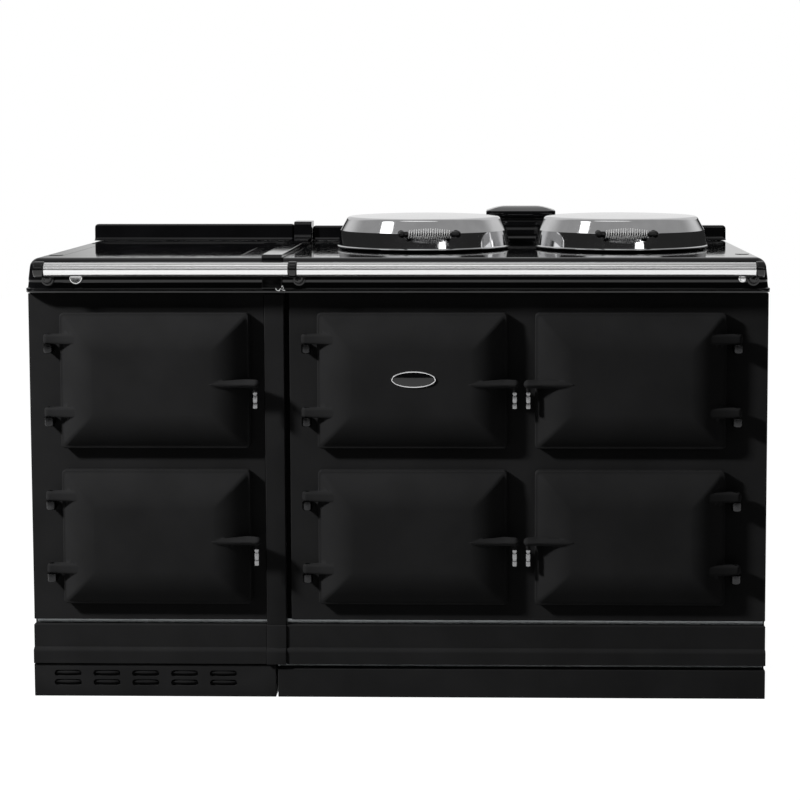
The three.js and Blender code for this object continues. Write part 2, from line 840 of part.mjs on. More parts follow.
piece('left_top_plate', leftTopPlate(), glossEnamel)
piece('main_top_plate', mainTopPlate(), glossEnamel)
piece('ceramic_hob_glass', block(glassX, glassY, [hob - glassThickness, hob]), blackGlass)
piece('boiling_plate', hotPlate(lids[0]), bareIron)
piece('simmering_plate', hotPlate(lids[1]), bareIron)

// ---------------------------------------------------------------- upstands, joint strip, flue vent
function upstand(x, height) {
  const [front, rear] = [behind(upstandFront), behind(upstandFront + upstandThickness)]
  const [bottom, top] = [hob + fitGap, hob + height]
  const coveHeight = bottom + upstandToe + upstandCove
  const cove = arc([front - upstandCove, coveHeight], upstandCove, -90, 0, shortArc)
  const section = [
    [rear, bottom],
    ...arc([rear - upstandRound, top - upstandRound], upstandRound, 0, 90, shortArc),
    ...arc([front + upstandRound, top - upstandRound], upstandRound, 90, 180, shortArc),
    ...cove.reverse(),
    [front - upstandCove, bottom]
  ]
  return alongX(section, x)
}

// Cover strip over the seam: down the fascia, back across the hob and up over the upstands
function jointStrip() {
  const inner = plateFront - fitGap
  const outer = inner - stripThickness / 2
  const top = hob + fitGap + stripThickness
  const upFront = behind(upstandFront - upstandCove) - stripThickness
  const upTop = hob + leftUpstandHeight + stripOverUpstand
  const section = [
    [inner, hob - stripDrop],
    [inner, hob + fitGap],
    [back, hob + fitGap],
    [back, upTop],
    ...arc([upFront + stripRound, upTop - stripRound], stripRound, 90, 180, shortArc),
    [upFront, top],
    ...arc([outer + stripRound, top - stripRound], stripRound, 90, 180, shortArc),
    [outer, hob - stripDrop]
  ]
  return alongX(section, [pilasterLeft, pilasterRight])
}

// Flue vent: a ribbed neck in front of the upstand, under a low domed cap that reaches over it
function flueVent() {
  const centreX = rightSide - ventCentreFromRight
  const neckRear = upstandFront - upstandCove - fitGap
  const ring = (inset, front, rear, height) => roundedRectangle(
    ventCapWidth / 2 - inset,
    (rear - front) / 2,
    Math.max(ventCorner - inset, ventLeastCorner)
  ).map(([x, y]) => [centreX + x, behind((front + rear) / 2) + y, hob + height])
  const neckRing = (dip, height) => {
    const inset = ventNeckInset + dip
    return ring(inset, ventCapFront + inset, neckRear - dip, height)
  }
  const capRing = (inset, height) => {
    return ring(inset, ventCapFront + inset, ventCapFront + ventCapDepth - inset, ventCapUnderside + height)
  }
  const rib = (ventCapUnderside - fitGap) / ventRibs
  const rings = []
  for (let i = 0; i < ventRibs; i++) {
    const start = fitGap + i * rib
    const edge = start + rib * ventRibShare
    const grooveEnd = start + rib * (1 - ventRibSlope)
    rings.push(neckRing(0, start), neckRing(0, edge))
    rings.push(neckRing(ventRibDepth, edge + rib * ventRibSlope), neckRing(ventRibDepth, grooveEnd))
  }
  rings.push(capRing(ventCapRound, 0), capRing(0, ventCapRound), capRing(0, ventCapEdge - ventCapRound))
  rings.push(capRing(ventCapRound, ventCapEdge), capRing(ventDomeInset, ventCapEdge + ventDome))
  return loft(rings)
}

const leftUpstandX = [plateLeft + leftUpstandMargin, pilasterLeft - fitGap]
const mainUpstandX = [pilasterRight + fitGap, rightSide - rightUpstandMargin]
piece('left_upstand', upstand(leftUpstandX, leftUpstandHeight), glossEnamel)
piece('main_upstand', upstand(mainUpstandX, mainUpstandHeight), glossEnamel)
piece('joint_strip', jointStrip(), glossEnamel)
piece('flue_vent', flueVent(), glossEnamel)

// ---------------------------------------------------------------- lids
// Outside of a lid from its rim to its crown, grown outwards by a gap
function lidOutside(grow) {
  const shoulderTop = lidShoulderHeight + lidShoulderRadius
  const crownRadius = lidRadius - lidShoulderInset - lidShoulderRadius
  const crownAt = radius => shoulderTop + lidCrown * (1 - (radius / crownRadius) ** 2) + grow
  return [
    [lidRadius - lidRimProud + grow, lidLift],
    [lidRadius + grow, lidLift + lidRimHeight / 2],
    [lidRadius - lidRimProud + grow, lidLift + lidRimHeight],
    [lidRadius - lidCreaseInset + grow, lidCreaseHeight],
    ...arc(
      [crownRadius, lidShoulderHeight],
      lidShoulderRadius + grow, 0, 90, shortArc
    ),
    [crownRadius / 2, crownAt(crownRadius / 2)],
    [0, crownAt(0)]
  ]
}

function lidInside(shrink) {
  return [
    [lidRadius - lidRimProud - lidWall - shrink, lidLift],
    [lidRadius - lidCreaseInset - lidWall - shrink, lidCreaseHeight],
    [lidRadius - lidShoulderInset - lidWall - shrink, lidShoulderHeight],
    [0, lidShoulderHeight + lidShoulderRadius - lidWall]
  ]
}

function insideRadiusAt(height, shrink) {
  const [rim, crease, shoulder] = lidInside(shrink)
  const [low, high] = height < crease[1] ? [rim, crease] : [crease, shoulder]
  return THREE.MathUtils.mapLinear(height, low[1], high[1], low[0], high[0])
}

const lidCentreOf = lid => [lid.centre, behind(lidDepth), hob]
const lidHingeY = behind(lidDepth + lidRadius + lidHingeBehind)
const lidArmZ = [hob + lidHingeHeight - lidArmThickness / 2, hob + lidHingeHeight + lidArmThickness / 2]

function lidShell(lid) {
  const profile = [...lidInside(0).reverse(), ...lidOutside(0)]
  const notch = block(
    [lid.centre - lidArmWidth / 2 - lidNotchGap, lid.centre + lidArmWidth / 2 + lidNotchGap],
    [behind(lidDepth + lidRadius - lidNotch), behind(lidDepth + lidRadius + overshoot)],
    [hob, lidArmZ[1] + lidNotchGap]
  )
  return turned(profile, lidCentreOf(lid), lidSides).subtract(notch)
}

// Insulated underside of a lid, with the arm that reaches back to its hinge
function lidLiner(lid) {
  const bottom = hotPlateProud + hotPlateToLiner
  const crease = lidInside(lidLinerGap)[1]
  const profile = [
    [0, bottom],
    [insideRadiusAt(bottom, lidLinerGap), bottom],
    crease,
    [insideRadiusAt(lidLinerTop, lidLinerGap), lidLinerTop],
    [0, lidLinerTop]
  ]
  const arm = block(
    [lid.centre - lidArmWidth / 2, lid.centre + lidArmWidth / 2],
    [behind(lidDepth + lidRadius - lidArmRoot), lidHingeY],
    lidArmZ
  )
  const centre = [lid.centre, lidHingeY, hob + lidHingeHeight]
  const knuckle = rod(unitX, lidKnuckleRadius, lidArmWidth, centre)
  const bore = rod(unitX, pinRadius + pivotGap, lidArmWidth + 2 * overshoot, centre, pinSides)
  return turned(profile, lidCentreOf(lid), lidSides).add(arm).add(knuckle).subtract(bore)
}

// Forked bracket on the top plate, with the pin that the lid turns on
function lidHingeBracket(lid) {
  const inner = lidArmWidth / 2 + pivotGap
  const y = [lidHingeY - lidKnuckleRadius, lidHingeY + lidKnuckleRadius]
  const centre = [lid.centre, lidHingeY, hob + lidHingeHeight]
  const width = 2 * (inner + earThickness)
  let body = block([lid.centre - width / 2, lid.centre + width / 2], y, [hob + fitGap, hob + earFoot])
  for (const side of [-1, 1]) {
    const middle = lid.centre + side * (inner + earThickness / 2)
    const x = [middle - earThickness / 2, middle + earThickness / 2]
    body = body.add(block(x, y, [hob + fitGap, hob + lidHingeHeight]))
    body = body.add(rod(unitX, lidKnuckleRadius, earThickness, [middle, lidHingeY, centre[2]]))
  }
  return body.add(rod(unitX, pinRadius, width - 2 * lidPinSetback, centre, pinSides))
}

for (const lid of lids) {
  piece(`${lid.name}_lid`, lidShell(lid), chrome)
  piece(`${lid.name}_lid_liner`, lidLiner(lid), steel)
  piece(`${lid.name}_lid_hinge_bracket`, lidHingeBracket(lid), darkMetal)
}

// ---------------------------------------------------------------- wire coil handles
const handleReach = lidRadius + handleStandoff
const ferruleInner = handlePostSpan / 2 - postHeadRadius - ferruleLength

// Handles are made in front of a lid centred on the origin and then turned into place
function handleFrame() {
  const centre = x => [x, -handleReach, handleHeight]
  let body = rod(unitX, rodRadius, handlePostSpan, centre(0), handleSides)
  for (const side of [-1, 1]) {
    const x = side * handlePostSpan / 2
    const post = rod(unitY, postRadius, handleReach, [x, -handleReach / 2, handleHeight], handleSides)
    const head = new THREE.SphereGeometry(postHeadRadius, handleSides, headRings)
    head.translate(...centre(x))
    const ferruleLong = ferruleLength + postHeadRadius
    const ferruleMiddle = side * (ferruleInner + ferruleLong / 2)
    const ferrule = rod(unitX, ferruleRadius, ferruleLong, centre(ferruleMiddle), handleSides)
    body = body.add(post).add(solid(head)).add(ferrule)
  }
  const profile = [[0, 0], ...lidOutside(fitGap)]
  return body.subtract(turned(profile, [0, 0, 0], lidSides))
}

const coilRadiusAt = share => {
  return coilEndRadius + (coilMiddleRadius - coilEndRadius) * Math.sin(Math.PI * share)
}

// Centre line of the wire: a barrel-shaped helix whose ends run straight into the ferrules
function coilPath() {
  const lead = 2 * wireRadius
  const half = ferruleInner - fitGap
  const run = 2 * (half - lead)
  const steps = coilTurns * coilStepsPerTurn
  const points = []
  for (let i = 0; i <= steps; i++) {
    const share = i / steps
    const angle = 2 * Math.PI * i / coilStepsPerTurn
    const radius = coilRadiusAt(share)
    points.push(new THREE.Vector3(run * (share - 0.5), radius * Math.cos(angle), radius * Math.sin(angle)))
  }
  const start = points[0].clone().setX(-half)
  const end = points[steps].clone().setX(half)
  return [start, ...points, end]
}

// Least distance between turns, wire to wire, measured on the centre line's points
function leastCoilGap(path) {
  let least = Infinity
  path.forEach((point, i) => {
    for (let j = i + coilStepsPerTurn / 2; j < path.length; j++) {
      least = Math.min(least, point.distanceTo(path[j]) - 2 * wireRadius)
    }
  })
  return least
}

function coil() {
  const path = coilPath()
  const ahead = i => path[Math.min(i + 1, path.length - 1)].clone().sub(path[Math.max(i - 1, 0)]).normalize()
  const rings = path.map((point, i) => {
    const ends = i === 0 || i === path.length - 1
    const tangent = ends ? unitX.clone() : ahead(i)
    const outward = new THREE.Vector3(0, point.y, point.z).normalize()
    const side = tangent.clone().cross(outward).normalize()
    const up = side.clone().cross(tangent)
    return Array.from({ length: coilSides }, (_, k) => {
      const angle = 2 * Math.PI * k / coilSides
      const offset = up.clone().multiplyScalar(Math.cos(angle)).addScaledVector(side, Math.sin(angle))
      return point.clone().addScaledVector(offset, wireRadius).toArray()
    })
  })
  return loft(rings).translate([0, -handleReach, handleHeight])
}

function onLid(mesh, lid) {
  mesh.position.set(...lidCentreOf(lid))
  mesh.rotation.z = THREE.MathUtils.degToRad(lid.turn)
}

console.log(`handle coil, least gap to itself: ${leastCoilGap(coilPath()).toFixed(2)} mm`)
for (const lid of lids) {
  onLid(piece(`${lid.name}_lid_handle_frame`, handleFrame(), darkMetal), lid)
  onLid(piece(`${lid.name}_lid_handle_coil`, coil(), chrome), lid)
}

// ---------------------------------------------------------------- towel rails
const footHeight = railHeight - footDrop
const footBack = fasciaProudAt(footHeight - footRadius) + fitGap
const leftBracketX = leftSide + leftBracketMargin
const centreBracketX = jointLine + centreBracketFromJoint
const rightBracketX = rightSide - rightBracketMargin

// A disc that holds the rail's end, and an arm down to a round foot on the fascia
function railBracket(centreX, width, shift) {
  const disc = rod(unitX, bracketRadius, width, [centreX, proud(railProud), railHeight], railSides)
  const footX = centreX + shift
  const footY = proud(footBack + footThickness / 2)
  const foot = rod(unitY, footRadius, footThickness, [footX, footY, footHeight])
  const ring = (x, y, z) => [
    [x - bracketArmHalf, y, z - bracketArmHalf],
    [x + bracketArmHalf, y, z - bracketArmHalf],
    [x + bracketArmHalf, y, z + bracketArmHalf],
    [x - bracketArmHalf, y, z + bracketArmHalf]
  ]
  const arm = loft([ring(centreX, proud(railProud), railHeight), ring(footX, footY, footHeight)])
  const railCentre = [centreX, proud(railProud), railHeight]
  const railRoom = rod(unitX, railRadius + fitGap, 4 * width, railCentre, railSides)
  return arm.subtract(railRoom).add(disc).add(foot)
}

function towelRail(x) {
  const centre = [(x[0] + x[1]) / 2, proud(railProud), railHeight]
  return rod(unitX, railRadius, x[1] - x[0], centre, railSides)
}

const leftRailX = [
  leftBracketX + leftBracketWidth / 2 + fitGap,
  centreBracketX - bracketWidth / 2 - fitGap
]
const mainRailX = [
  centreBracketX + bracketWidth / 2 + fitGap,
  rightBracketX - bracketWidth / 2 - fitGap
]
piece('left_towel_rail', towelRail(leftRailX), steel)
piece('main_towel_rail', towelRail(mainRailX), steel)
piece('left_rail_bracket', railBracket(leftBracketX, leftBracketWidth, footShift), darkMetal)
piece('centre_rail_bracket', railBracket(centreBracketX, bracketWidth, footShift), darkMetal)
piece('right_rail_bracket', railBracket(rightBracketX, bracketWidth, -footShift), darkMetal)

// ---------------------------------------------------------------- push button
const buttonMiddle = buttonBack - buttonLength / 2
const buttonCentre = [buttonX, buttonMiddle, buttonZ]
piece('hob_button', rod(unitY, buttonRadius, buttonLength, buttonCentre, buttonSides), chrome)

export default cooker
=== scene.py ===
"""A double-width cast iron range cooker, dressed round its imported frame.

Metres, +Z up, front towards -Y. What a piece shares with the frame is read from the frame.
"""

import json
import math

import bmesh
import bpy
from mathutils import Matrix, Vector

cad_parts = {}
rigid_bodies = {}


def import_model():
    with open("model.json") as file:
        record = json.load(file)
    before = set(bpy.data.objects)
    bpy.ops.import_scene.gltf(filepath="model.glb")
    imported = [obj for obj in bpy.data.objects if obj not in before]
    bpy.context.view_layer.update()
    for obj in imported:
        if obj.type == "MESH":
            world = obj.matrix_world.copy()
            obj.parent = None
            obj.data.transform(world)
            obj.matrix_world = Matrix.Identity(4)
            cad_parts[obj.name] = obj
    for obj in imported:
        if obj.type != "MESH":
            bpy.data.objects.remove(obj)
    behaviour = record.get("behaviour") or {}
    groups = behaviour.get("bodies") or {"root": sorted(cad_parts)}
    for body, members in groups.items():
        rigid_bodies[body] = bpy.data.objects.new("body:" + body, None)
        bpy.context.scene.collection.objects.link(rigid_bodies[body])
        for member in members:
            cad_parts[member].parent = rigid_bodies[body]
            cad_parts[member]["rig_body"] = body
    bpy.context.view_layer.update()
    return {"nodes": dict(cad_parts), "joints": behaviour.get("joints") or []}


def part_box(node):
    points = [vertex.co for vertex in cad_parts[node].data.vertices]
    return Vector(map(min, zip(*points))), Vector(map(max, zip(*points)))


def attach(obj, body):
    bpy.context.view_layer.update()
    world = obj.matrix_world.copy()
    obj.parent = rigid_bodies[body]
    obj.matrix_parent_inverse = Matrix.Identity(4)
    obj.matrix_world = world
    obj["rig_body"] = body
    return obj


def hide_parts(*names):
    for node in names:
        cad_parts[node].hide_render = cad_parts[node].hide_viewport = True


bl_info = {
    "name": "Cast iron range cooker",
    "version": (1, 0, 0),
    "blender": (4, 5, 0),
    "location": "3D View > Sidebar > Cooker",
    "description": "Enamelled castings, chrome lids and steel rails round the cooker's frame",
    "category": "Add Mesh",
}

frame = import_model()

MM = 0.001
JOINTS = {joint["name"]: joint for joint in frame["joints"]}
OVEN_DOORS = ("upper_warming", "lower_warming", "baking", "roasting", "simmering")
DOORS = OVEN_DOORS + ("control",)
LIDS = ("left", "right")
# Hinge arms above and below a door's middle, and how far their pins stand out from the castings
ARM_HEIGHTS = (85 * MM, -62 * MM)
PIN_PROUD = 24 * MM
# A latch arm's round end, beyond the door's free edge
LATCH_REACH = 14 * MM
# A lid handle's rod above the hob
HANDLE_HEIGHT = 39 * MM


# ---------------------------------------------------------------- what a user would change
def length(name, description, millimetres):
    """A size that a user may change, with its default in millimetres."""
    return bpy.props.FloatProperty(
        name=name, description=description, default=millimetres * MM, min=0.0, unit="LENGTH", precision=4
    )


def colour(name, description, value):
    """A colour that a user may change."""
    return bpy.props.FloatVectorProperty(
        name=name, description=description, default=value, size=3, min=0.0, max=1.0, subtype="COLOR"
    )


def share(name, description, value):
    """A share from 0 to 1 that a user may change."""
    return bpy.props.FloatProperty(
        name=name, description=description, default=value, min=0.0, max=1.0, subtype="FACTOR"
    )


class CookerDoors(bpy.types.PropertyGroup):
    """Sizes of the six doors"""

    width: length("Width", "Width of every door", 379)
    hinge_out: length("Hinge out", "Door's edge to its hinge axis", 21)
    edge: length("Edge", "How far a door's edge stands out from the castings", 20)
    lip: length("Lip", "Flat margin round a door before its slope", 4.5)
    plateau: length("Plateau", "How far a door's flat middle stands out", 50)
    slope: length("Slope", "Door's edge to its flat middle", 72)
    bulge: share("Bulge", "How round the slope is", 0.9)
    corner: length("Corner", "Corner radius of a door", 8)
    arm_height: length("Arm height", "Height of a hinge arm", 20)
    arm_reach: length("Arm reach", "How far an arm runs over the door", 51)
    arm_end: length("Arm end", "How far an arm's far end stands out", 41)
    knuckle: length("Knuckle", "Radius of a hinge knuckle", 10)
    latch_height: length("Latch height", "Height of the latch arm at its nose", 17)


class CookerTop(bpy.types.PropertyGroup):
    """Sizes of the top plates, the screw caps and the lids' handles"""

    bead: length("Bead", "Height of the bead under the fascia", 9)
    shoulder: length("Shoulder", "Radius of the hob's front edge", 20)
    corner: length("Corner", "Radius of the hob's front corners", 24)
    plate: length("Plate", "Thickness of the top plates", 12)
    cap_radius: length("Cap radius", "Radius of the screw caps in the hob", 14)
    cap_height: length("Cap height", "Height of the screw caps", 0.9)
    wire: length("Wire", "Radius of the handles' wire", 1.3)
    coil_turns: bpy.props.IntProperty(
        name="Coil turns", description="Turns of each handle's wire", default=18, min=2
    )
    coil_end: length("Coil end", "Radius of the coil at its ends", 7.2)
    coil_middle: length("Coil middle", "Radius of the coil at its middle", 11.2)


class CookerFinishes(bpy.types.PropertyGroup):
    """Colours and polish"""

    satin: colour("Satin enamel", "Front castings, doors and base", (0.026, 0.026, 0.0265))
    gloss: colour("Gloss enamel", "Hob, upstands and vent", (0.004, 0.004, 0.0045))
    bracket: colour("Brackets", "Rail brackets, lid hinges and handle posts", (0.005, 0.005, 0.005))
    chrome: colour("Chrome", "Lids and the rim of the badge", (0.83, 0.83, 0.84))
    steel: colour("Steel", "Rails, coils, button, shelf and linings", (0.95, 0.95, 0.95))
    oven: colour("Oven enamel", "Inside of the ovens", (0.035, 0.036, 0.04))
    satin_roughness: share("Satin roughness", "Roughness of the satin enamel", 0.48)
    edge_rounding: length("Edge rounding", "Rounding of cast edges", 1.4)


# ---------------------------------------------------------------- meshes
def from_millimetres(points):
    """Points in metres from points in millimetres."""
    return [tuple(value * MM for value in point) for point in points]


def full_turn(steps):
    """Angles of a full turn, without the last."""
    return [math.tau * i / steps for i in range(steps)]


def quarter(steps):
    """Angles of a quarter turn."""
    return [math.pi / 2 * i / steps for i in range(steps + 1)]


def arc(centre, radius, start, end, steps):
    """Points of a circular arc, with its angles in degrees."""
    angles = [math.radians(start + (end - start) * i / steps) for i in range(steps + 1)]
    return [(centre[0] + radius * math.cos(a), centre[1] + radius * math.sin(a)) for a in angles]


def along(start, end, steps):
    """Points between two points, without the last."""
    return [tuple(s + (e - s) * i / steps for s, e in zip(start, end)) for i in range(steps)]


def rounded_rectangle(half_width, half_height, radius, corner_steps=6, side_steps=1):
    """An outline round the origin, with its straight sides cut into steps."""
    w, h = half_width - radius, half_height - radius
    corners = (((w, h), 0), ((-w, h), 90), ((-w, -h), 180), ((w, -h), 270))
    arcs = [arc(centre, radius, start, start + 90, corner_steps) for centre, start in corners]
    outline = []
    for this, following in zip(arcs, arcs[1:] + arcs[:1]):
        outline += this[:-1] + along(this[-1], following[0], side_steps)
    return outline


def in_scene(name, data):
    """An object in the scene for a mesh, a lamp or a camera."""
    made = bpy.data.objects.new(name, data)
    bpy.context.scene.collection.objects.link(made)
    return made


def closed_mesh(name, points, faces, material):
    """An object with merged points and faces that point outwards."""
    mesh = bpy.data.meshes.new(name)
    mesh.from_pydata([tuple(p) for p in points], [], faces)
    work = bmesh.new()
    work.from_mesh(mesh)
    bmesh.ops.remove_doubles(work, verts=work.verts, dist=1e-6)
    bmesh.ops.recalc_face_normals(work, faces=work.faces)
    work.to_mesh(mesh)
    work.free()
    mesh.materials.append(material)
    return in_scene(name, mesh)


def skin(name, rings, material, caps=True):
    """Skins rings that each have as many points, and closes both ends with caps."""
    count = len(rings[0])
    faces = []
    for start in range(0, (len(rings) - 1) * count, count):
        for i in range(count):
            j = (i + 1) % count
            faces.append((start + i, start + j, start + j + count, start + i + count))
    if caps:
        last = (len(rings) - 1) * count
        faces.append(tuple(reversed(range(count))))
        faces.append(tuple(range(last, last + count)))
    return closed_mesh(name, [point for ring in rings for point in ring], faces, material)


def turned(name, profile, centre, axis, steps, material):
    """A profile of (radius, distance) points turned about an axis. It ends on the axis or meets itself."""
    turn = Vector((0, 0, 1)).rotation_difference(Vector(axis))
    rings = []
    for radius, distance in profile:
        ring = [(radius * math.cos(a), radius * math.sin(a), distance) for a in full_turn(steps)]
        rings.append([turn @ Vector(point) + Vector(centre) for point in ring])
    return skin(name, rings, material, caps=False)


def bar_profile(radius, start, end):
    """Profile of a plain round bar between two distances."""
    return [(0, start), (radius, start), (radius, end), (0, end)]


def prism(name, outline, axis, start, end, material):
    """An outline of points run along X, Y or Z. Its points are (y, z), (x, z) or (x, y)."""
    place = {
        "X": lambda p, d: (d, p[0], p[1]),
        "Y": lambda p, d: (p[0], d, p[1]),
        "Z": lambda p, d: (p[0], p[1], d),
    }[axis]
    return skin(name, [[place(p, d) for p in outline] for d in (start, end)], material)


def block(name, low, high, material):
    """A box between two corners."""
    outline = [(low[0], low[1]), (high[0], low[1]), (high[0], high[1]), (low[0], high[1])]
    return prism(name, outline, "Z", low[2], high[2], material)


def settle(piece):
    """Puts the result of a piece's modifiers in its mesh."""
    graph = bpy.context.evaluated_depsgraph_get()
    settled = bpy.data.meshes.new_from_object(piece.evaluated_get(graph))
    piece.modifiers.clear()
    unsettled = piece.data
    piece.data = settled
    bpy.data.meshes.remove(unsettled)
    settled.name = piece.name
    return piece


def smooth(piece, angle=32.0):
    """Smooth faces, with a hard edge where they meet at more than an angle."""
    piece.data.shade_smooth()
    piece.data.set_sharp_from_angle(angle=math.radians(angle))
    return piece


def flat_faced(piece):
    """Keeps the flat faces of a smooth piece flat."""
    flat = piece.modifiers.new("Flat faces", "WEIGHTED_NORMAL")
    flat.keep_sharp = True
    flat.weight = 100
    return settle(piece)


def rounded(piece, width, steps=3):
    """Rounds a piece's hard edges and keeps its flat faces flat."""
    bevel = piece.modifiers.new("Rounded edges", "BEVEL")
    bevel.width = width
    bevel.segments = steps
    bevel.limit_method = "ANGLE"
    bevel.angle_limit = math.radians(32.0)
    settle(piece)
    piece.data.shade_smooth()
    return flat_faced(piece)


def merged(name, pieces):
    """Joins the meshes of pieces in the first one, and gives it a name."""
    work = bmesh.new()
    for piece in pieces:
        work.from_mesh(piece.data)
    work.to_mesh(pieces[0].data)
    work.free()
    for piece in pieces[1:]:
        bpy.data.meshes.remove(piece.data)
    pieces[0].name = pieces[0].data.name = name
    return pieces[0]


def combined(piece, other, operation):
    """Unites a piece with another or cuts the other from it. The other is used up."""
    cut = piece.modifiers.new("Cut", "BOOLEAN")
    cut.operation = operation
    cut.solver = "EXACT"
    cut.object = other
    settle(piece)
    bpy.data.meshes.remove(other.data)
    return piece


def copy_of_node(node, name, material):
    """A CAD node's mesh, merged, with its flat faces whole."""
    work = bmesh.new()
    work.from_mesh(frame["nodes"][node].data)
    bmesh.ops.remove_doubles(work, verts=work.verts, dist=2e-6)
    bmesh.ops.dissolve_limit(work, angle_limit=math.radians(0.5), verts=work.verts, edges=work.edges)
    mesh = bpy.data.meshes.new(name)
    work.to_mesh(mesh)
    work.free()
    mesh.materials.append(material)
    return in_scene(name, mesh)


def as_cast(piece, voxel, passes):
    """Runs the joined solids of a piece into one casting with soft inner corners."""
    remesh = piece.modifiers.new("One casting", "REMESH")
    remesh.mode = "VOXEL"
    remesh.voxel_size = voxel
    remesh.use_smooth_shade = True
    soften = piece.modifiers.new("Soft corners", "SMOOTH")
    soften.factor = 0.5
    soften.iterations = passes
    settle(piece)
    piece.data.shade_smooth()
    return piece


def stands_for(piece, slot, *nodes):
    """The piece takes the place of CAD nodes and rides on their body."""
    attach(piece, frame["nodes"][nodes[0]]["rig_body"])
    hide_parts(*nodes)


def added_to(piece, body):
    """The piece has no CAD node of its own and rides on a body."""
    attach(piece, body)


def faced_with(node, material):
    """A CAD node whose shape is right gets its finish."""
    slots = frame["nodes"][node].data.materials
    slots.clear()
    slots.append(material)


# ---------------------------------------------------------------- geometry node trees
def set_or_link(tree, socket, value):
    """Gives an input socket a number, or a link from another node's output."""
    if isinstance(value, bpy.types.NodeSocket):
        tree.links.new(value, socket)
    else:
        socket.default_value = value


class NodeTree:
    """A Geometry Nodes group that is filled node by node."""

    def __init__(self, name):
        self.group = bpy.data.node_groups.new(name, "GeometryNodeTree")
        self.group.interface.new_socket("Geometry", in_out="OUTPUT", socket_type="NodeSocketGeometry")
        self.group.interface.new_socket("Geometry", in_out="INPUT", socket_type="NodeSocketGeometry")
        self.start = self.group.nodes.new("NodeGroupInput")

    def size(self, name):
        """A named number that the tree takes."""
        self.group.interface.new_socket(name, in_out="INPUT", socket_type="NodeSocketFloat")
        return self.start.outputs[name]

    def add(self, kind, settings=None, **inputs):
        """A node, with links or values for its inputs. Underscores in an input's name are spaces."""
        node = self.group.nodes.new(kind)
        for setting, value in (settings or {}).items():
            setattr(node, setting, value)
        for name, value in inputs.items():
            set_or_link(self.group, node.inputs[name.replace("_", " ")], value)
        return node

    def maths(self, operation, *values):
        """The result of a Math node."""
        node = self.add("ShaderNodeMath", {"operation": operation})
        for socket, value in zip(node.inputs, values):
            set_or_link(self.group, socket, value)
        return node.outputs[0]

    def scaled(self, vector, factors):
        """A vector times another, axis by axis."""
        node = self.add("ShaderNodeVectorMath", {"operation": "MULTIPLY"})
        set_or_link(self.group, node.inputs[0], vector)
        set_or_link(self.group, node.inputs[1], factors)
        return node.outputs[0]

    def round_bars(self, paths, radius):
        """Round bars of a radius along paths, with closed ends."""
        ring = self.add("GeometryNodeCurvePrimitiveCircle", {"mode": "RADIUS"}, Resolution=10)
        self.group.links.new(radius, ring.inputs["Radius"])
        bars = self.add("GeometryNodeCurveToMesh", Curve=paths, Profile_Curve=ring.outputs["Curve"])
        bars.inputs["Fill Caps"].default_value = True
        return bars.outputs[0]

    def close(self, geometry, material):
        """Ends the tree in plain geometry with a material."""
        real = self.add("GeometryNodeRealizeInstances", Geometry=geometry)
        dressed = self.add("GeometryNodeSetMaterial", Geometry=real.outputs[0], Material=material)
        end = self.group.nodes.new("NodeGroupOutput")
        self.group.links.new(dressed.outputs[0], end.inputs["Geometry"])
        return self.group


def grown(piece, tree, **sizes):
    """Runs a tree on a piece and keeps the result as its mesh. Underscores in a size's name are spaces."""
    modifier = piece.modifiers.new("Grown", "NODES")
    modifier.node_group = tree
    wanted = {name.replace("_", " "): value for name, value in sizes.items()}
    for item in tree.interface.items_tree:
        if item.item_type == "SOCKET" and item.in_out == "INPUT" and item.name in wanted:
            modifier[item.identifier] = wanted[item.name]
    return settle(piece)


def drawn(name, points, edges=()):
    """An object that holds only points and edges, for a tree to grow on."""
    mesh = bpy.data.meshes.new(name)
    mesh.from_pydata([tuple(p) for p in points], list(edges), [])
    return in_scene(name, mesh)


def stud_tree(name, material, sides, upright):
    """Low domed studs, one on each point. They face up, or else towards the front."""
    tree = NodeTree(name)
    radius, height = tree.size("Radius"), tree.size("Height")
    drum = tree.add("GeometryNodeMeshCylinder", Vertices=sides, Radius=radius, Depth=height)
    crown_height, crown_radius = tree.maths("MULTIPLY", height, 0.35), tree.maths("MULTIPLY", radius, 0.8)
    crown = tree.add("GeometryNodeMeshCone", Vertices=sides, Depth=crown_height,
                     Radius_Bottom=radius, Radius_Top=crown_radius)
    lift = tree.add("ShaderNodeCombineXYZ", Z=tree.maths("MULTIPLY", height, 0.5))
    seat = tree.add("GeometryNodeTransform", Geometry=crown.outputs["Mesh"], Translation=lift.outputs[0])
    both = tree.group.nodes.new("GeometryNodeJoinGeometry")
    for part in (drum.outputs["Mesh"], seat.outputs[0]):
        tree.group.links.new(part, both.inputs[0])
    tilt = (0.0, 0.0, 0.0) if upright else (math.pi / 2, 0.0, 0.0)
    placed = tree.add("GeometryNodeInstanceOnPoints", Points=tree.start.outputs["Geometry"],
                      Instance=both.outputs[0], Rotation=tilt)
    return tree.close(placed.outputs[0], material)


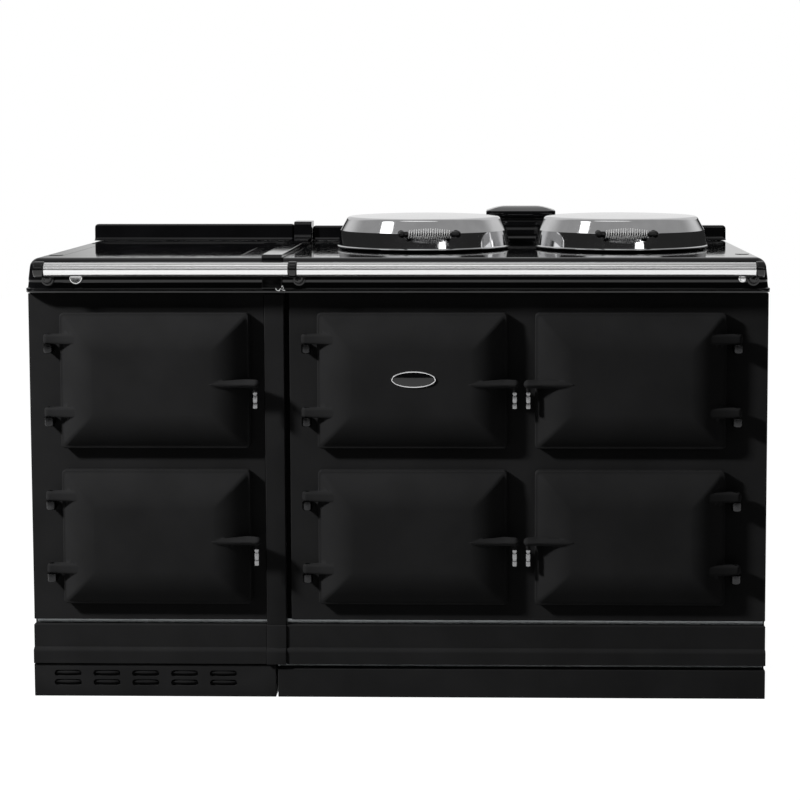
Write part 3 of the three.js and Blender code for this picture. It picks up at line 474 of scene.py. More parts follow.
# ---------------------------------------------------------------- materials
class Finish:
    """A material with one Principled shader, whose patterns lie in the object's own space."""

    def __init__(self, name, colour, roughness, metallic=0.0, specular=0.5):
        self.material = bpy.data.materials.new(name)
        self.material.use_nodes = True
        self.nodes = self.material.node_tree.nodes
        self.links = self.material.node_tree.links
        self.shader = self.nodes["Principled BSDF"]
        self.shader.inputs["Base Color"].default_value = (*colour, 1.0)
        self.shader.inputs["Roughness"].default_value = roughness
        self.shader.inputs["Metallic"].default_value = metallic
        self.shader.inputs["Specular IOR Level"].default_value = specular
        self.space = self.nodes.new("ShaderNodeTexCoord").outputs["Object"]
        self.colour, self.roughness = colour, roughness
        self.relief = None

    def stretched(self, scale, centre=(0.0, 0.0, 0.0)):
        """Object space moved to a centre and stretched along its axes."""
        mapping = self.nodes.new("ShaderNodeMapping")
        mapping.inputs["Location"].default_value = [-c * s for c, s in zip(centre, scale)]
        mapping.inputs["Scale"].default_value = scale
        self.links.new(self.space, mapping.inputs["Vector"])
        return mapping.outputs["Vector"]

    def noise(self, scale, detail, space=None):
        """Soft noise in the object's space, or in a stretched one."""
        noise = self.nodes.new("ShaderNodeTexNoise")
        noise.inputs["Scale"].default_value = scale
        noise.inputs["Detail"].default_value = detail
        self.links.new(space or self.space, noise.inputs["Vector"])
        return noise.outputs["Fac"]

    def spread(self, pattern, low, high, start=0.3, end=0.7):
        """Spreads a pattern between two values."""
        ramp = self.nodes.new("ShaderNodeMapRange")
        ramp.inputs["From Min"].default_value = start
        ramp.inputs["From Max"].default_value = end
        ramp.inputs["To Min"].default_value = low
        ramp.inputs["To Max"].default_value = high
        self.links.new(pattern, ramp.inputs["Value"])
        return ramp.outputs["Result"]

    def tinted(self, pattern, darker, lighter, start=0.3, end=0.7):
        """Shifts the colour between two shares of itself."""
        mix = self.nodes.new("ShaderNodeMix")
        mix.data_type = "RGBA"
        dark, light, result = mix.inputs[6], mix.inputs[7], mix.outputs[2]
        dark.default_value = (*[c * darker for c in self.colour], 1.0)
        light.default_value = (*[min(1.0, c * lighter) for c in self.colour], 1.0)
        self.links.new(self.spread(pattern, 0.0, 1.0, start, end), mix.inputs["Factor"])
        self.links.new(result, self.shader.inputs["Base Color"])

    def polished(self, pattern, low, high):
        """Varies the roughness between two shares of itself."""
        varied = self.spread(pattern, self.roughness * low, self.roughness * high)
        self.links.new(varied, self.shader.inputs["Roughness"])

    def raised(self, pattern, height, strength):
        """Relief of a real height in metres, over any that is there."""
        bump = self.nodes.new("ShaderNodeBump")
        bump.inputs["Strength"].default_value = strength
        bump.inputs["Distance"].default_value = height
        self.links.new(pattern, bump.inputs["Height"])
        if self.relief:
            self.links.new(self.relief, bump.inputs["Normal"])
        self.relief = bump.outputs["Normal"]
        self.links.new(self.relief, self.shader.inputs["Normal"])


def shader_maths(tree, operation, *values):
    """The result of a Math node in a material or the world."""
    node = tree.nodes.new("ShaderNodeMath")
    node.operation = operation
    for socket, value in zip(node.inputs, values):
        set_or_link(tree, socket, value)
    return node.outputs[0]


def satin_enamel(finishes):
    """Black vitreous enamel with a soft sheen, over the faint skin of cast iron."""
    finish = Finish("Satin black enamel", finishes.satin, finishes.satin_roughness, specular=0.016)
    finish.tinted(finish.noise(9, 4), 0.88, 1.15)
    finish.polished(finish.noise(240, 2), 0.92, 1.1)
    finish.raised(finish.noise(38, 2), 0.00035, 0.35)
    finish.raised(finish.noise(900, 2), 0.00002, 0.6)
    return finish.material


def gloss_enamel(finishes):
    """Wet-looking black enamel with a soft wave in its surface."""
    finish = Finish("Gloss black enamel", finishes.gloss, 0.05, specular=0.45)
    finish.tinted(finish.noise(14, 3), 0.8, 1.3)
    finish.polished(finish.noise(60, 3), 0.7, 1.6)
    finish.raised(finish.noise(26, 2), 0.00022, 0.5)
    finish.shader.inputs["Coat Weight"].default_value = 0.1
    finish.shader.inputs["Coat Roughness"].default_value = 0.03
    return finish.material


def bracket_black(finishes):
    """Polished black metal of the rail brackets, lid hinges and handle posts."""
    finish = Finish("Black bracket", finishes.bracket, 0.12, specular=0.5)
    finish.tinted(finish.noise(60, 3), 0.8, 1.3)
    finish.polished(finish.noise(150, 2), 0.8, 1.4)
    finish.raised(finish.noise(220, 2), 0.00005, 0.6)
    return finish.material


def chrome(finishes):
    """Polished chrome with faint traces of the polishing cloth."""
    finish = Finish("Polished chrome", finishes.chrome, 0.06, metallic=1.0)
    finish.tinted(finish.noise(30, 2), 0.94, 1.04)
    finish.polished(finish.noise(90, 4), 0.6, 1.7)
    finish.raised(finish.noise(18, 1), 0.00008, 0.5)
    return finish.material


def steel(finishes):
    """Stainless steel, polished along X."""
    finish = Finish("Polished steel", finishes.steel, 0.2, metallic=0.8)
    grain = finish.noise(1.0, 3, finish.stretched((12, 1400, 1400)))
    finish.tinted(grain, 0.92, 1.05)
    finish.polished(grain, 0.75, 1.35)
    finish.raised(grain, 0.000006, 0.5)
    return finish.material


def oven_enamel(finishes):
    """Dark speckled enamel of the oven linings."""
    finish = Finish("Oven enamel", finishes.oven, 0.3)
    finish.tinted(finish.noise(1300, 1), 0.7, 7.0, 0.68, 0.76)
    finish.polished(finish.noise(80, 3), 0.8, 1.4)
    finish.raised(finish.noise(160, 2), 0.00006, 0.6)
    return finish.material


def galvanised():
    """Zinc-coated sheet of the casing, with its spangle."""
    finish = Finish("Galvanised sheet", (0.42, 0.44, 0.45), 0.42, metallic=0.9)
    spangle = finish.nodes.new("ShaderNodeTexVoronoi")
    spangle.inputs["Scale"].default_value = 110
    finish.links.new(finish.space, spangle.inputs["Vector"])
    finish.tinted(spangle.outputs["Color"], 0.8, 1.15, 0.1, 0.9)
    finish.polished(spangle.outputs["Color"], 0.85, 1.2)
    finish.raised(finish.noise(70, 2), 0.00006, 0.6)
    return finish.material


def black_glass(name):
    """Black glass whose surface waves a little."""
    finish = Finish(name, (0.0035, 0.0035, 0.004), 0.03, specular=0.5)
    finish.polished(finish.noise(25, 3), 0.8, 1.6)
    finish.raised(finish.noise(8, 1), 0.00005, 0.3)
    return finish


def panel_glass():
    """Glass of the control panel, with fine dots under its surface."""
    finish = black_glass("Black glass")
    finish.tinted(finish.noise(1600, 1), 0.8, 2.4, 0.6, 0.75)
    return finish.material


def hob_glass(low, high):
    """Ceramic glass with two thin printed rings for its cooking zones."""
    finish = black_glass("Ceramic hob glass")
    tree = finish.material.node_tree
    x, run = (low.x + high.x) / 2, high.y - low.y
    rings = []
    for y, radius in ((low.y + run * 0.28, 82 * MM), (low.y + run * 0.72, 94 * MM)):
        distance = finish.nodes.new("ShaderNodeVectorMath")
        distance.operation = "LENGTH"
        finish.links.new(finish.stretched((1, 1, 0), (x, y, 0)), distance.inputs[0])
        rings.append(shader_maths(tree, "COMPARE", distance.outputs["Value"], radius, 0.5 * MM))
    finish.tinted(shader_maths(tree, "MAXIMUM", *rings), 1.0, 60.0, 0.4, 0.6)
    return finish.material


def machined_iron(name, centre):
    """A hot plate's top, with turning marks round its centre."""
    finish = Finish(name, (0.05, 0.05, 0.052), 0.34, metallic=0.7)
    rings = finish.nodes.new("ShaderNodeTexWave")
    rings.wave_type = "RINGS"
    rings.rings_direction = "Z"
    rings.inputs["Scale"].default_value = 260
    rings.inputs["Distortion"].default_value = 0.4
    finish.links.new(finish.stretched((1, 1, 1), centre), rings.inputs["Vector"])
    finish.tinted(finish.noise(24, 4), 0.6, 1.5)
    finish.polished(rings.outputs["Fac"], 0.8, 1.3)
    finish.raised(rings.outputs["Fac"], 0.00002, 0.7)
    return finish.material


def hinge_steel_in_painted_shade():
    """Steel of the hinge lugs and pins, painted nearly black as the shade that the hinge arms throw on them.
    """
    finish = Finish("Hinge steel in painted shade", (0.035, 0.035, 0.036), 0.28, metallic=1.0)
    finish.tinted(finish.noise(70, 3), 0.8, 1.15)
    finish.polished(finish.noise(160, 3), 0.8, 1.3)
    finish.raised(finish.noise(400, 2), 0.00003, 0.6)
    return finish.material


def bobbin_steel():
    """Turned steel of the bobbins under the latches."""
    finish = Finish("Handle steel", (0.28, 0.28, 0.285), 0.22, metallic=1.0)
    finish.tinted(finish.noise(1.0, 3, finish.stretched((300, 300, 2500))), 0.75, 1.15)
    finish.polished(finish.noise(160, 3), 0.8, 1.3)
    finish.raised(finish.noise(500, 2), 0.00002, 0.5)
    return finish.material


def coil_wire(finishes):
    """Bright drawn wire of the coils on the lids' handles."""
    finish = Finish("Coil wire", finishes.steel, 0.24, metallic=0.5)
    finish.tinted(finish.noise(400, 2), 0.85, 1.08)
    finish.polished(finish.noise(300, 2), 0.8, 1.4)
    finish.raised(finish.noise(900, 1), 0.00001, 0.4)
    return finish.material


def dark_rubber_and_shade():
    """Black rubber of the seals, also used as painted shade inside the plinth's slots and deep in the recess
    beside the pilaster.
    """
    finish = Finish("Dark seal and painted shade", (0.004, 0.004, 0.004), 0.7, specular=0.02)
    finish.tinted(finish.noise(120, 3), 0.7, 1.4)
    finish.raised(finish.noise(500, 2), 0.00003, 0.6)
    return finish.material


MATERIALS = {}


def make_materials(finishes):
    """Makes the finishes that the pieces share."""
    MATERIALS.update(
        satin=satin_enamel(finishes),
        gloss=gloss_enamel(finishes),
        bracket=bracket_black(finishes),
        chrome=chrome(finishes),
        steel=steel(finishes),
        oven=oven_enamel(finishes),
        casing=galvanised(),
        glass=panel_glass(),
        lug=hinge_steel_in_painted_shade(),
        seal=dark_rubber_and_shade(),
        bobbin=bobbin_steel(),
        coil=coil_wire(finishes),
    )


# ---------------------------------------------------------------- base and casing
def slot_cutter(centres, half, radius, front):
    """Round-ended slots through the plinth's face, whose insides take the dark seal material as painted
    shade.
    """
    slots = []
    for x, z in centres:
        outline = arc((x + half - radius, z), radius, -90, 90, 10)
        outline += arc((x - half + radius, z), radius, 90, 270, 10)
        slots.append(prism("slot", outline, "Y", front - MM, front + 6 * MM, MATERIALS["seal"]))
    return merged("slots", slots)


def louvre_tree(material):
    """A swelling blade on each point, for the slots of the plinth."""
    tree = NodeTree("Plinth louvres")
    half, radius, swell = tree.size("Half length"), tree.size("Radius"), tree.size("Swell")
    ball = tree.add("GeometryNodeMeshUVSphere", Segments=24, Rings=12, Radius=1.0)
    lengths = tree.add("ShaderNodeCombineXYZ", X=half, Y=swell, Z=radius)
    blade = tree.add("GeometryNodeTransform", Geometry=ball.outputs["Mesh"], Scale=lengths.outputs[0])
    placed = tree.add("GeometryNodeInstanceOnPoints", Points=tree.start.outputs["Geometry"],
                      Instance=blade.outputs[0])
    return tree.close(placed.outputs[0], material)


def dress_plinths(finishes):
    """The plinths, of which the left one has two rows of five louvres."""
    satin, rounding = MATERIALS["satin"], finishes.edge_rounding
    low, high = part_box("left_plinth")
    rows, columns, pitch, first = (28.5 * MM, 47.5 * MM), 5, 79 * MM, 68.5 * MM
    half, radius = 27.5 * MM, 6.5 * MM
    centres = [(low.x + first + pitch * i, z) for z in rows for i in range(columns)]
    # The slots' insides are painted black as the shade within them
    slots = slot_cutter(centres, half, radius, low.y)
    plinth = rounded(block("left_plinth_panel", low, high, satin), rounding)
    smooth(combined(plinth, slots, "DIFFERENCE"))
    stands_for(plinth, "satin_black_iron", "left_plinth")
    # The blades stand just behind the plinth's face, in the upper part of their slots
    places = [(x, low.y + 3.4 * MM, z + radius * 0.25) for x, z in centres]
    blades = drawn("left_plinth_louvre_blades", places)
    grown(blades, louvre_tree(satin), Half_length=half * 0.93, Radius=radius * 0.62, Swell=2.6 * MM)
    added_to(smooth(blades), "cooker_body")
    low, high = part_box("main_plinth")
    panel = rounded(block("main_plinth_panel", low, high, satin), rounding)
    stands_for(panel, "satin_black_iron", "main_plinth")


def dress_base_mouldings(finishes):
    """The moulding over each plinth."""
    for node in ("left_skirt", "main_skirt"):
        low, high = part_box(node)
        moulding = prism(node + "_moulding", skirt_section(0.0), "X", low.x, high.x, MATERIALS["satin"])
        stands_for(rounded(moulding, finishes.edge_rounding), "satin_black_iron", node)


def dress_side_panels():
    """The plain enamelled sides."""
    for node in ("left_side_panel", "right_side_panel"):
        low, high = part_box(node)
        panel = rounded(block(node + "_sheet", low, high, MATERIALS["satin"]), 0.6 * MM)
        stands_for(panel, "satin_black_iron", node)


def castings_face():
    """Y of the front castings' flat face. Their hinge lugs stand in front of it."""
    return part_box("main_front_casting")[0].y + 35 * MM


def skirt_section(extra):
    """Section of a base moulding as (y, z): a flat face, a roll and a prouder band, with an extra depth."""
    low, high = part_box("main_skirt")
    band_top, roll = low.z + 24 * MM, 8 * MM
    band, plain = castings_face() - 12 * MM - extra, castings_face() - 4 * MM - extra
    section = [(high.y, low.z), (high.y, high.z), (plain, high.z)]
    section += arc((band + roll, band_top), roll, 90, 180, 10)
    return section + [(band, low.z)]


def dress_pilaster():
    """The bar over the seam of the two units, with its foot, and the dark seal in the recess beside it,
    which also stands for the recess's shade.
    """
    low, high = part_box("joint_pilaster")
    satin, rounding = MATERIALS["satin"], 2.2 * MM
    bar_low = (low.x, low.y + 12 * MM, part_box("main_skirt")[1].z - 2 * MM)
    bar = rounded(block("joint_pilaster_bar", bar_low, high, satin), rounding, 4)
    foot = rounded(prism("foot", skirt_section(4 * MM), "X", low.x, high.x, satin), rounding, 4)
    smooth(combined(bar, foot, "UNION"), 40)
    stands_for(bar, "satin_black_iron", "joint_pilaster")
    # The dark seal fills the recess between the pilaster and the main casting, and so paints the recess's
    # shade
    gap = 0.4 * MM
    casting_low, casting_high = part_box("main_front_casting")
    seal_low = (high.x + gap, castings_face() + 8 * MM, casting_low.z)
    seal_high = (casting_low.x - gap, high.y, casting_high.z)
    seal = block("recess_seal_and_shade", seal_low, seal_high, MATERIALS["seal"])
    added_to(rounded(seal, 0.8 * MM), "cooker_body")


# ---------------------------------------------------------------- front castings
def hinge_points(door):
    """Axis of a door's hinge, the side it is on, and the centres of its two arms."""
    joint = JOINTS[door + "_door_hinge"]
    x, y, middle = joint["pos_m"]
    side = 1 if joint["axis"][2] > 0 else -1
    return x, y, side, [middle + height for height in ARM_HEIGHTS]


def hinge_lug(x, y, arm_middle, doors, material):
    """A steel lug under a hinge arm, with its web to the casting and its pin."""
    radius, pin, turn, web_half = doors.knuckle, 5 * MM, 4 * MM, 7 * MM
    top, pin_top = arm_middle - doors.arm_height / 2 - 0.5 * MM, arm_middle + 10 * MM
    bottom = top - 18 * MM
    profile = [(0, bottom)] + arc((radius - turn, bottom + turn), turn, -90, 0, 6)
    profile += arc((radius - MM, top - MM), MM, 0, 90, 3) + [(pin, top), (pin, pin_top - MM)]
    profile += [(pin - MM, pin_top), (0, pin_top)]
    lug = turned("lug", profile, (x, y, 0), (0, 0, 1), 32, material)
    web_low, web_high = (x - web_half, y, bottom + MM), (x + web_half, y + 25 * MM, top - 0.5 * MM)
    web = block("web", web_low, web_high, material)
    return combined(lug, rounded(web, 2.5 * MM), "UNION")


def dress_castings(doors, finishes):
    """The front castings with their door mouths, and the lugs that carry the hinges."""
    for node, names in (
        ("left_front_casting", ("upper_warming", "lower_warming")),
        ("main_front_casting", ("control", "baking", "roasting", "simmering")),
    ):
        low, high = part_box(node)
        face = castings_face()
        plate = block(node + "_plate", (low.x, face, low.z), high, MATERIALS["satin"])
        mouths = [mouth_cutter(name, face, high.y, doors) for name in names]
        combined(plate, merged("mouths", mouths), "DIFFERENCE")
        stands_for(rounded(plate, finishes.edge_rounding, 4), "satin_black_iron", node)
        lugs = []
        for name in names:
            x, y, _, arms = hinge_points(name)
            lugs += [hinge_lug(x, y, middle, doors, MATERIALS["lug"]) for middle in arms]
        lugs = smooth(merged(node.replace("front_casting", "hinge_lugs"), lugs), 40)
        added_to(lugs, "cooker_body")


def door_middle(name, doors):
    """Centre of a door in x and z."""
    x, _, side, _ = hinge_points(name)
    return x - side * (doors.hinge_out + doors.width / 2), JOINTS[name + "_door_hinge"]["pos_m"][2]


def door_height(name):
    """A door's height in the frame."""
    low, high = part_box(name + "_door")
    return high.z - low.z


def mouth_cutter(name, front, rear, doors):
    """A block through the casting behind a door, smaller than the door all round."""
    inset = 28 * MM
    x, z = door_middle(name, doors)
    half_width, half_height = doors.width / 2 - inset, door_height(name) / 2 - inset
    outline = [(x + u, z + v) for u, v in rounded_rectangle(half_width, half_height, 1.2 * MM, 3)]
    return prism("mouth", outline, "Y", front - 5 * MM, rear + 5 * MM, MATERIALS["satin"])


# ---------------------------------------------------------------- doors
def door_proud(doors, inset):
    """How far a door's front stands out at an inset from its edge."""
    along_slope = min(1.0, max(0.0, (inset - doors.lip) / (doors.slope - doors.lip)))
    return doors.edge + (doors.plateau - doors.edge) * along_slope * (1 + doors.bulge * (1 - along_slope))


def door_front(doors, height, material):
    """A door's body round the origin, with soft ridges where its slopes meet."""
    back, edge_round, slope_steps = 2.5 * MM, 3 * MM, 22
    section = [(MM, back), (0.0, back + MM)]
    section += arc((edge_round, doors.edge - edge_round), edge_round, 180, 90, 4)
    for i in range(slope_steps + 1):
        inset = doors.lip + (doors.slope - doors.lip) * i / slope_steps
        section.append((inset, door_proud(doors, inset)))
    section.append((doors.slope + 8 * MM, doors.plateau))
    rings = []
    for inset, proud in section:
        radius = doors.corner * (1 - 0.55 * min(1.0, inset / doors.slope))
        outline = rounded_rectangle(doors.width / 2 - inset, height / 2 - inset, radius, 8, 22)
        rings.append([(u, -proud, v) for u, v in outline])
    return skin("door", rings, material)


def hinge_arm(doors, side, middle, material):
    """A round-edged bar from the hinge's knuckle to the door's slope."""
    axis = side * (doors.width / 2 + doors.hinge_out)
    end = side * (doors.width / 2 - doors.arm_reach)
    nose = [(axis + side * u, v) for u, v in arc((0, -PIN_PROUD), doors.knuckle, -90, 90, 16)]
    outline = nose + [(end, -PIN_PROUD + doors.knuckle), (end, -doors.arm_end)]
    half = doors.arm_height / 2
    return rounded(prism("arm", outline, "Z", middle - half, middle + half, material), 5.5 * MM, 5)


def latch_fin(doors, side, middle, material):
    """A latch arm from the edge of the door's flat middle to a round nose. Its upper face leans back."""
    steps, nose, leaning = 48, 9 * MM, 0.62
    start, centre = doors.width / 2 - doors.slope - 5 * MM, doors.width / 2 + LATCH_REACH
    end = centre + nose
    rings = []
    for i in range(steps + 1):
        x = start + (end - start) * math.sin(math.pi / 2 * (0.01 + 0.99 * i / steps))
        share_out = (x - start) / (centre - start)
        half = doors.latch_height / 2 * math.sqrt(1 - (1 - min(1.0, share_out)) ** 2.6)
        inset = doors.width / 2 - x
        # The underside follows the slope, and leaves the door where it nears the edge
        rise = min(1.0, max(0.0, (8 * MM - inset) / (20 * MM)))
        inner = (door_proud(doors, max(inset, doors.lip)) - 3 * MM) * (1 - rise) + 29 * MM * rise
        outer = doors.plateau + 0.5 * MM + 1.5 * MM * min(1.0, share_out)
        depth, mid = (outer - inner) / 2, (outer + inner) / 2
        if x > centre:
            shrink = math.sqrt(max(0.0, 1 - ((x - centre) / nose) ** 2))
            half, depth = half * shrink, depth * shrink
        ring = []
        for a in full_turn(32):
            up, out = math.sin(a), math.cos(a)
            lean = leaning if up > 0 and out > 0 else 0.0
            ring.append((-side * x, -mid - depth * out * (1 - lean * up), middle + half * up))
        rings.append(ring)
    return skin("fin", rings, material)


def door_casting(doors, side, height, material):
    """One door with its arms and latch, round the origin, with its hinge on one side."""
    arms = [hinge_arm(doors, side, middle, material) for middle in ARM_HEIGHTS]
    limbs = merged("limbs", arms + [latch_fin(doors, side, -3 * MM, material)])
    door = combined(door_front(doors, height, material), limbs, "UNION")
    axis = side * (doors.width / 2 + doors.hinge_out)
    bore = bar_profile(5.5 * MM, -doors.arm_height, doors.arm_height)
    places = [(axis, -PIN_PROUD, middle) for middle in ARM_HEIGHTS]
    bores = [turned("bore", bore, place, (0, 0, 1), 24, material) for place in places]
    combined(door, merged("bores", bores), "DIFFERENCE")
    return smooth(door, 34)


def copied(piece, name, offset):
    """A copy of a piece whose mesh is moved to its place."""
    mesh = piece.data.copy()
    mesh.transform(Matrix.Translation(offset))
    mesh.name = name
    return in_scene(name, mesh)


def bobbin(name, centre, material):
    """A spool that hangs under the latch arm, with a shallow band below and a groove above."""
    full, band, groove, turn = 5.7, 5.1, 4.4, 0.7
    foot, head = -42.0, -8.2
    profile = [(0, foot), (full - 1.6, foot)]
    profile += arc((full - turn, foot + turn + 0.3), turn, -60, 0, 4)
    for low, high, radius in ((-31.2, -28.2, band), (-16.2, -13.8, groove)):
        profile += arc((full - turn, low - turn), turn, 0, 70, 4)
        profile += [(radius, low + 0.5), (radius, high - 0.5)]
        profile += arc((full - turn, high + turn), turn, -70, 0, 4)
    profile += arc((full - turn, head - turn), turn, 0, 90, 4) + [(0, head)]
    return smooth(turned(name, from_millimetres(profile), centre, (0, 0, 1), 40, material), 40)


def bobbin_stem(name, centre, material):
    """The short stem between a bobbin and the latch arm."""
    profile = [(0, -9.0), (3.6, -9.0), (3.6, -6.0), (4.6, -4.5), (4.6, 2.0), (0, 2.0)]
    return smooth(turned(name, from_millimetres(profile), centre, (0, 0, 1), 24, material), 40)


def ellipse_rings(centre, sizes):
    """Upright elliptical rings. A size is a half width, a half height and how far the ring stands out."""
    x, y, z = centre
    return [
        [(x + w * math.cos(a), y - proud, z + h * math.sin(a)) for a in full_turn(72)]
        for w, h, proud in sizes
    ]


def plain_badge(x, y, z):
    """An oval plate with a chrome rim and nothing on it."""
    w, h, bar, rim_top, sunk, turn = 44 * MM, 16.5 * MM, 2.6 * MM, 3.2 * MM, -0.6 * MM, 0.5 * MM
    profile = [(0, sunk), (0, rim_top - MM), (turn, rim_top - 0.3 * MM), (bar / 2, rim_top)]
    profile += [(bar - turn, rim_top - 0.3 * MM), (bar, rim_top - MM), (bar, sunk), (0, sunk)]
    sizes = [(w - inset, h - inset, proud) for inset, proud in profile]
    rim = skin("badge_rim", ellipse_rings((x, y, z), sizes), MATERIALS["chrome"], caps=False)
    added_to(smooth(rim, 50), "control_door_body")
    w, h, edge, dome = w - bar + 0.3 * MM, h - bar + 0.3 * MM, 1.2 * MM, 0.8 * MM
    sizes = [(w, h, -0.5 * MM), (w, h, edge)]
    sizes += [(w * s, h * s, edge + dome * (1 - s * s)) for s in (0.9, 0.7, 0.4, 0.1)]
    plate = skin("badge_plate", ellipse_rings((x, y, z), sizes), MATERIALS["gloss"])
    added_to(smooth(plate, 50), "control_door_body")


def rope_seal(name, x, y, z, half_width, half_height):
    """A round seal that runs round a door's back."""
    radius, corner = 0.95 * MM, 10 * MM
    rings = []
    for angle in full_turn(10) + [math.tau]:
        out = radius * math.cos(angle)
        path = rounded_rectangle(half_width + out, half_height + out, corner + out)
        rings.append([(x + u, y + radius * math.sin(angle), z + v) for u, v in path])
    return smooth(skin(name, rings, MATERIALS["seal"], caps=False), 80)


def dress_doors(doors):
    """The six doors with their bobbins, and the plugs and seals of the oven doors."""
    face, height = castings_face(), door_height("control")
    patterns = {side: door_casting(doors, side, height, MATERIALS["satin"]) for side in (-1, 1)}
    for name in DOORS:
        side = hinge_points(name)[2]
        x, z = door_middle(name, doors)
        casting = copied(patterns[side], name + "_door_casting", (x, face, z))
        stands_for(casting, "satin_black_iron", name + "_door")
        under_latch = (x - side * (doors.width / 2 + LATCH_REACH), face - 40 * MM, z - 10 * MM)
        spool = bobbin(name + "_door_bobbin", under_latch, MATERIALS["bobbin"])
        stands_for(spool, "polished_chrome", name + "_door_handle")
        stem = bobbin_stem(name + "_door_stem", under_latch, MATERIALS["satin"])
        added_to(stem, name + "_door_body")
        if name in OVEN_DOORS:
            plug = copy_of_node(name + "_door_liner", name + "_door_plug", MATERIALS["steel"])
            stands_for(rounded(plug, 1.5 * MM), "insulated_liner", name + "_door_liner")
            half_width, half_height = doors.width / 2 - 18 * MM, height / 2 - 18 * MM
            seal = rope_seal(name + "_door_seal", x, face - 1.2 * MM, z, half_width, half_height)
            added_to(seal, name + "_door_body")
    x, z = door_middle("control", doors)
    plain_badge(x + 4 * MM, face - doors.plateau, z + 7.5 * MM)
    for pattern in patterns.values():
        bpy.data.meshes.remove(pattern.data)


# ---------------------------------------------------------------- ovens
def dress_ovens():
    """Finishes of the oven linings and the casing, and the shelf's bars."""
    for name in OVEN_DOORS:
        faced_with(name + "_oven_liner", MATERIALS["oven"])
    for node in ("left_carcass", "main_carcass"):
        faced_with(node, MATERIALS["casing"])
    low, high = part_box("roasting_oven_shelf")
    stands_for(wire_shelf(low, high), "polished_steel", "roasting_oven_shelf")


def dress_control_panel():
    """A glass panel with three steel touch points."""
    low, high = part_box("control_panel")
    panel = rounded(block("touch_panel", low, high, MATERIALS["glass"]), 0.8 * MM)
    stands_for(panel, "black_glass", "control_panel")
    x, z, pitch = (low.x + high.x) / 2, (low.z + high.z) / 2, 60 * MM
    touches = drawn("touch_points", [(x + pitch * i, low.y - 0.3 * MM, z) for i in (-1, 0, 1)])
    grown(touches, stud_tree("Touch points", MATERIALS["steel"], 24, False), Radius=7 * MM, Height=0.6 * MM)
    added_to(smooth(touches), "cooker_body")


def shelf_tree(material):
    """A round bar along every edge of a drawing."""
    tree = NodeTree("Shelf bars")
    radius = tree.size("Radius")
    paths = tree.add("GeometryNodeMeshToCurve", Mesh=tree.start.outputs["Geometry"])
    return tree.close(tree.round_bars(paths.outputs[0], radius), material)


def wire_shelf(low, high):
    """A grid of round bars in the shelf's place."""
    radius, bars = 2.4 * MM, 18
    z = (low.z + high.z) / 2
    x0, x1, y0, y1 = low.x + radius, high.x - radius, low.y + radius, high.y - radius
    points = [(x0, y0, z), (x1, y0, z), (x1, y1, z), (x0, y1, z)]
    edges = [(0, 1), (2, 3), (3, 0), (1, 2)]
    for i in range(1, bars):
        x = x0 + (x1 - x0) * i / bars
        edges.append((len(points), len(points) + 1))
        points += [(x, y0, z), (x, y1, z)]
    shelf = drawn("shelf_grid", points, edges)
    return smooth(grown(shelf, shelf_tree(MATERIALS["steel"]), Radius=radius), 60)


# ---------------------------------------------------------------- top plates and hob
def hob_height():
    """The top plates' upper face, level with the hob glass."""
    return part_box("ceramic_hob_glass")[1].z


def plate_rings(node, outer, seam, top):
    """Rings of a top plate's skin: bead, fascia and rounded front edge, with a round outer front corner."""
    low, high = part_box(node)
    hob, bead_top = hob_height(), low.z + top.bead
    inward = 1 if seam > outer else -1
    bead_round, neck, inset = 2 * MM, 3.5 * MM, 6 * MM
    section = arc((bead_round, low.z + bead_round), bead_round, 270, 180, 4)
    section += arc((bead_round, bead_top - bead_round), bead_round, 180, 90, 4)
    section += [(neck, bead_top + 0.8 * MM), (neck + 0.2 * MM, bead_top + 3 * MM)]
    # A faint crease above the bead leans forward, and so catches the light of the floor
    crease = from_millimetres(((0.95, 11.2), (0.9, 12.4), (0.66, 16.4), (0.62, 17.6)))
    section += [(neck + offset, bead_top + height) for offset, height in crease]
    section += arc((inset + top.shoulder, hob - top.shoulder), top.shoulder, 180, 90, 14)
    side_inset, side_taper, least_radius = 5 * MM, 2.5 * MM, 3 * MM
    rings = []
    for offset, height in section:
        radius = top.corner - min(offset, top.corner - least_radius)
        drawn_in = side_inset + side_taper * max(0.0, (height - bead_top) / (hob - bead_top))
        edge, front = outer + inward * (offset + drawn_in), low.y + offset
        corner = arc((radius, radius), radius, 180, 270, 14)
        outline = [(edge, high.y)] + [(edge + inward * u, front + v) for u, v in corner]
        outline += [(seam, front), (seam, high.y)]
        rings.append([(x, y, height) for x, y in outline])
    return rings


def hollow_plate(node, name, outer, seam, top):
    """A top plate that is hollow from below, behind a thicker front."""
    gloss, wall, lip = MATERIALS["gloss"], 16 * MM, 60 * MM
    low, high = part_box(node)
    plate = skin(name, plate_rings(node, outer, seam, top), gloss)
    hollow_low = (low.x + wall, low.y + lip, low.z - MM)
    hollow_high = (high.x - wall, high.y - wall, hob_height() - top.plate)
    return combined(plate, block("hollow", hollow_low, hollow_high, gloss), "DIFFERENCE")


def dress_left_plate(top):
    """The left top plate, with a recess for the glass and a bore for the button."""
    gloss, gap = MATERIALS["gloss"], 0.6 * MM
    low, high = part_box("left_top_plate")
    plate = hollow_plate("left_top_plate", "left_hob_plate", low.x, high.x, top)
    low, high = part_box("ceramic_hob_glass")
    recess_low = (low.x - gap, low.y - gap, low.z - gap / 2)
    recess_high = (high.x + gap, high.y + gap, hob_height() + 5 * MM)
    combined(plate, block("recess", recess_low, recess_high, gloss), "DIFFERENCE")
    low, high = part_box("hob_button")
    centre, radius = (low + high) / 2, (high.x - low.x) / 2 + gap
    rear = (centre.x, high.y + 4.5 * MM, centre.z)
    bore = turned("bore", bar_profile(radius, 0, 60 * MM), rear, (0, -1, 0), 48, gloss)
    combined(plate, bore, "DIFFERENCE")
    stands_for(flat_faced(smooth(plate, 34)), "gloss_black_enamel", "left_top_plate")


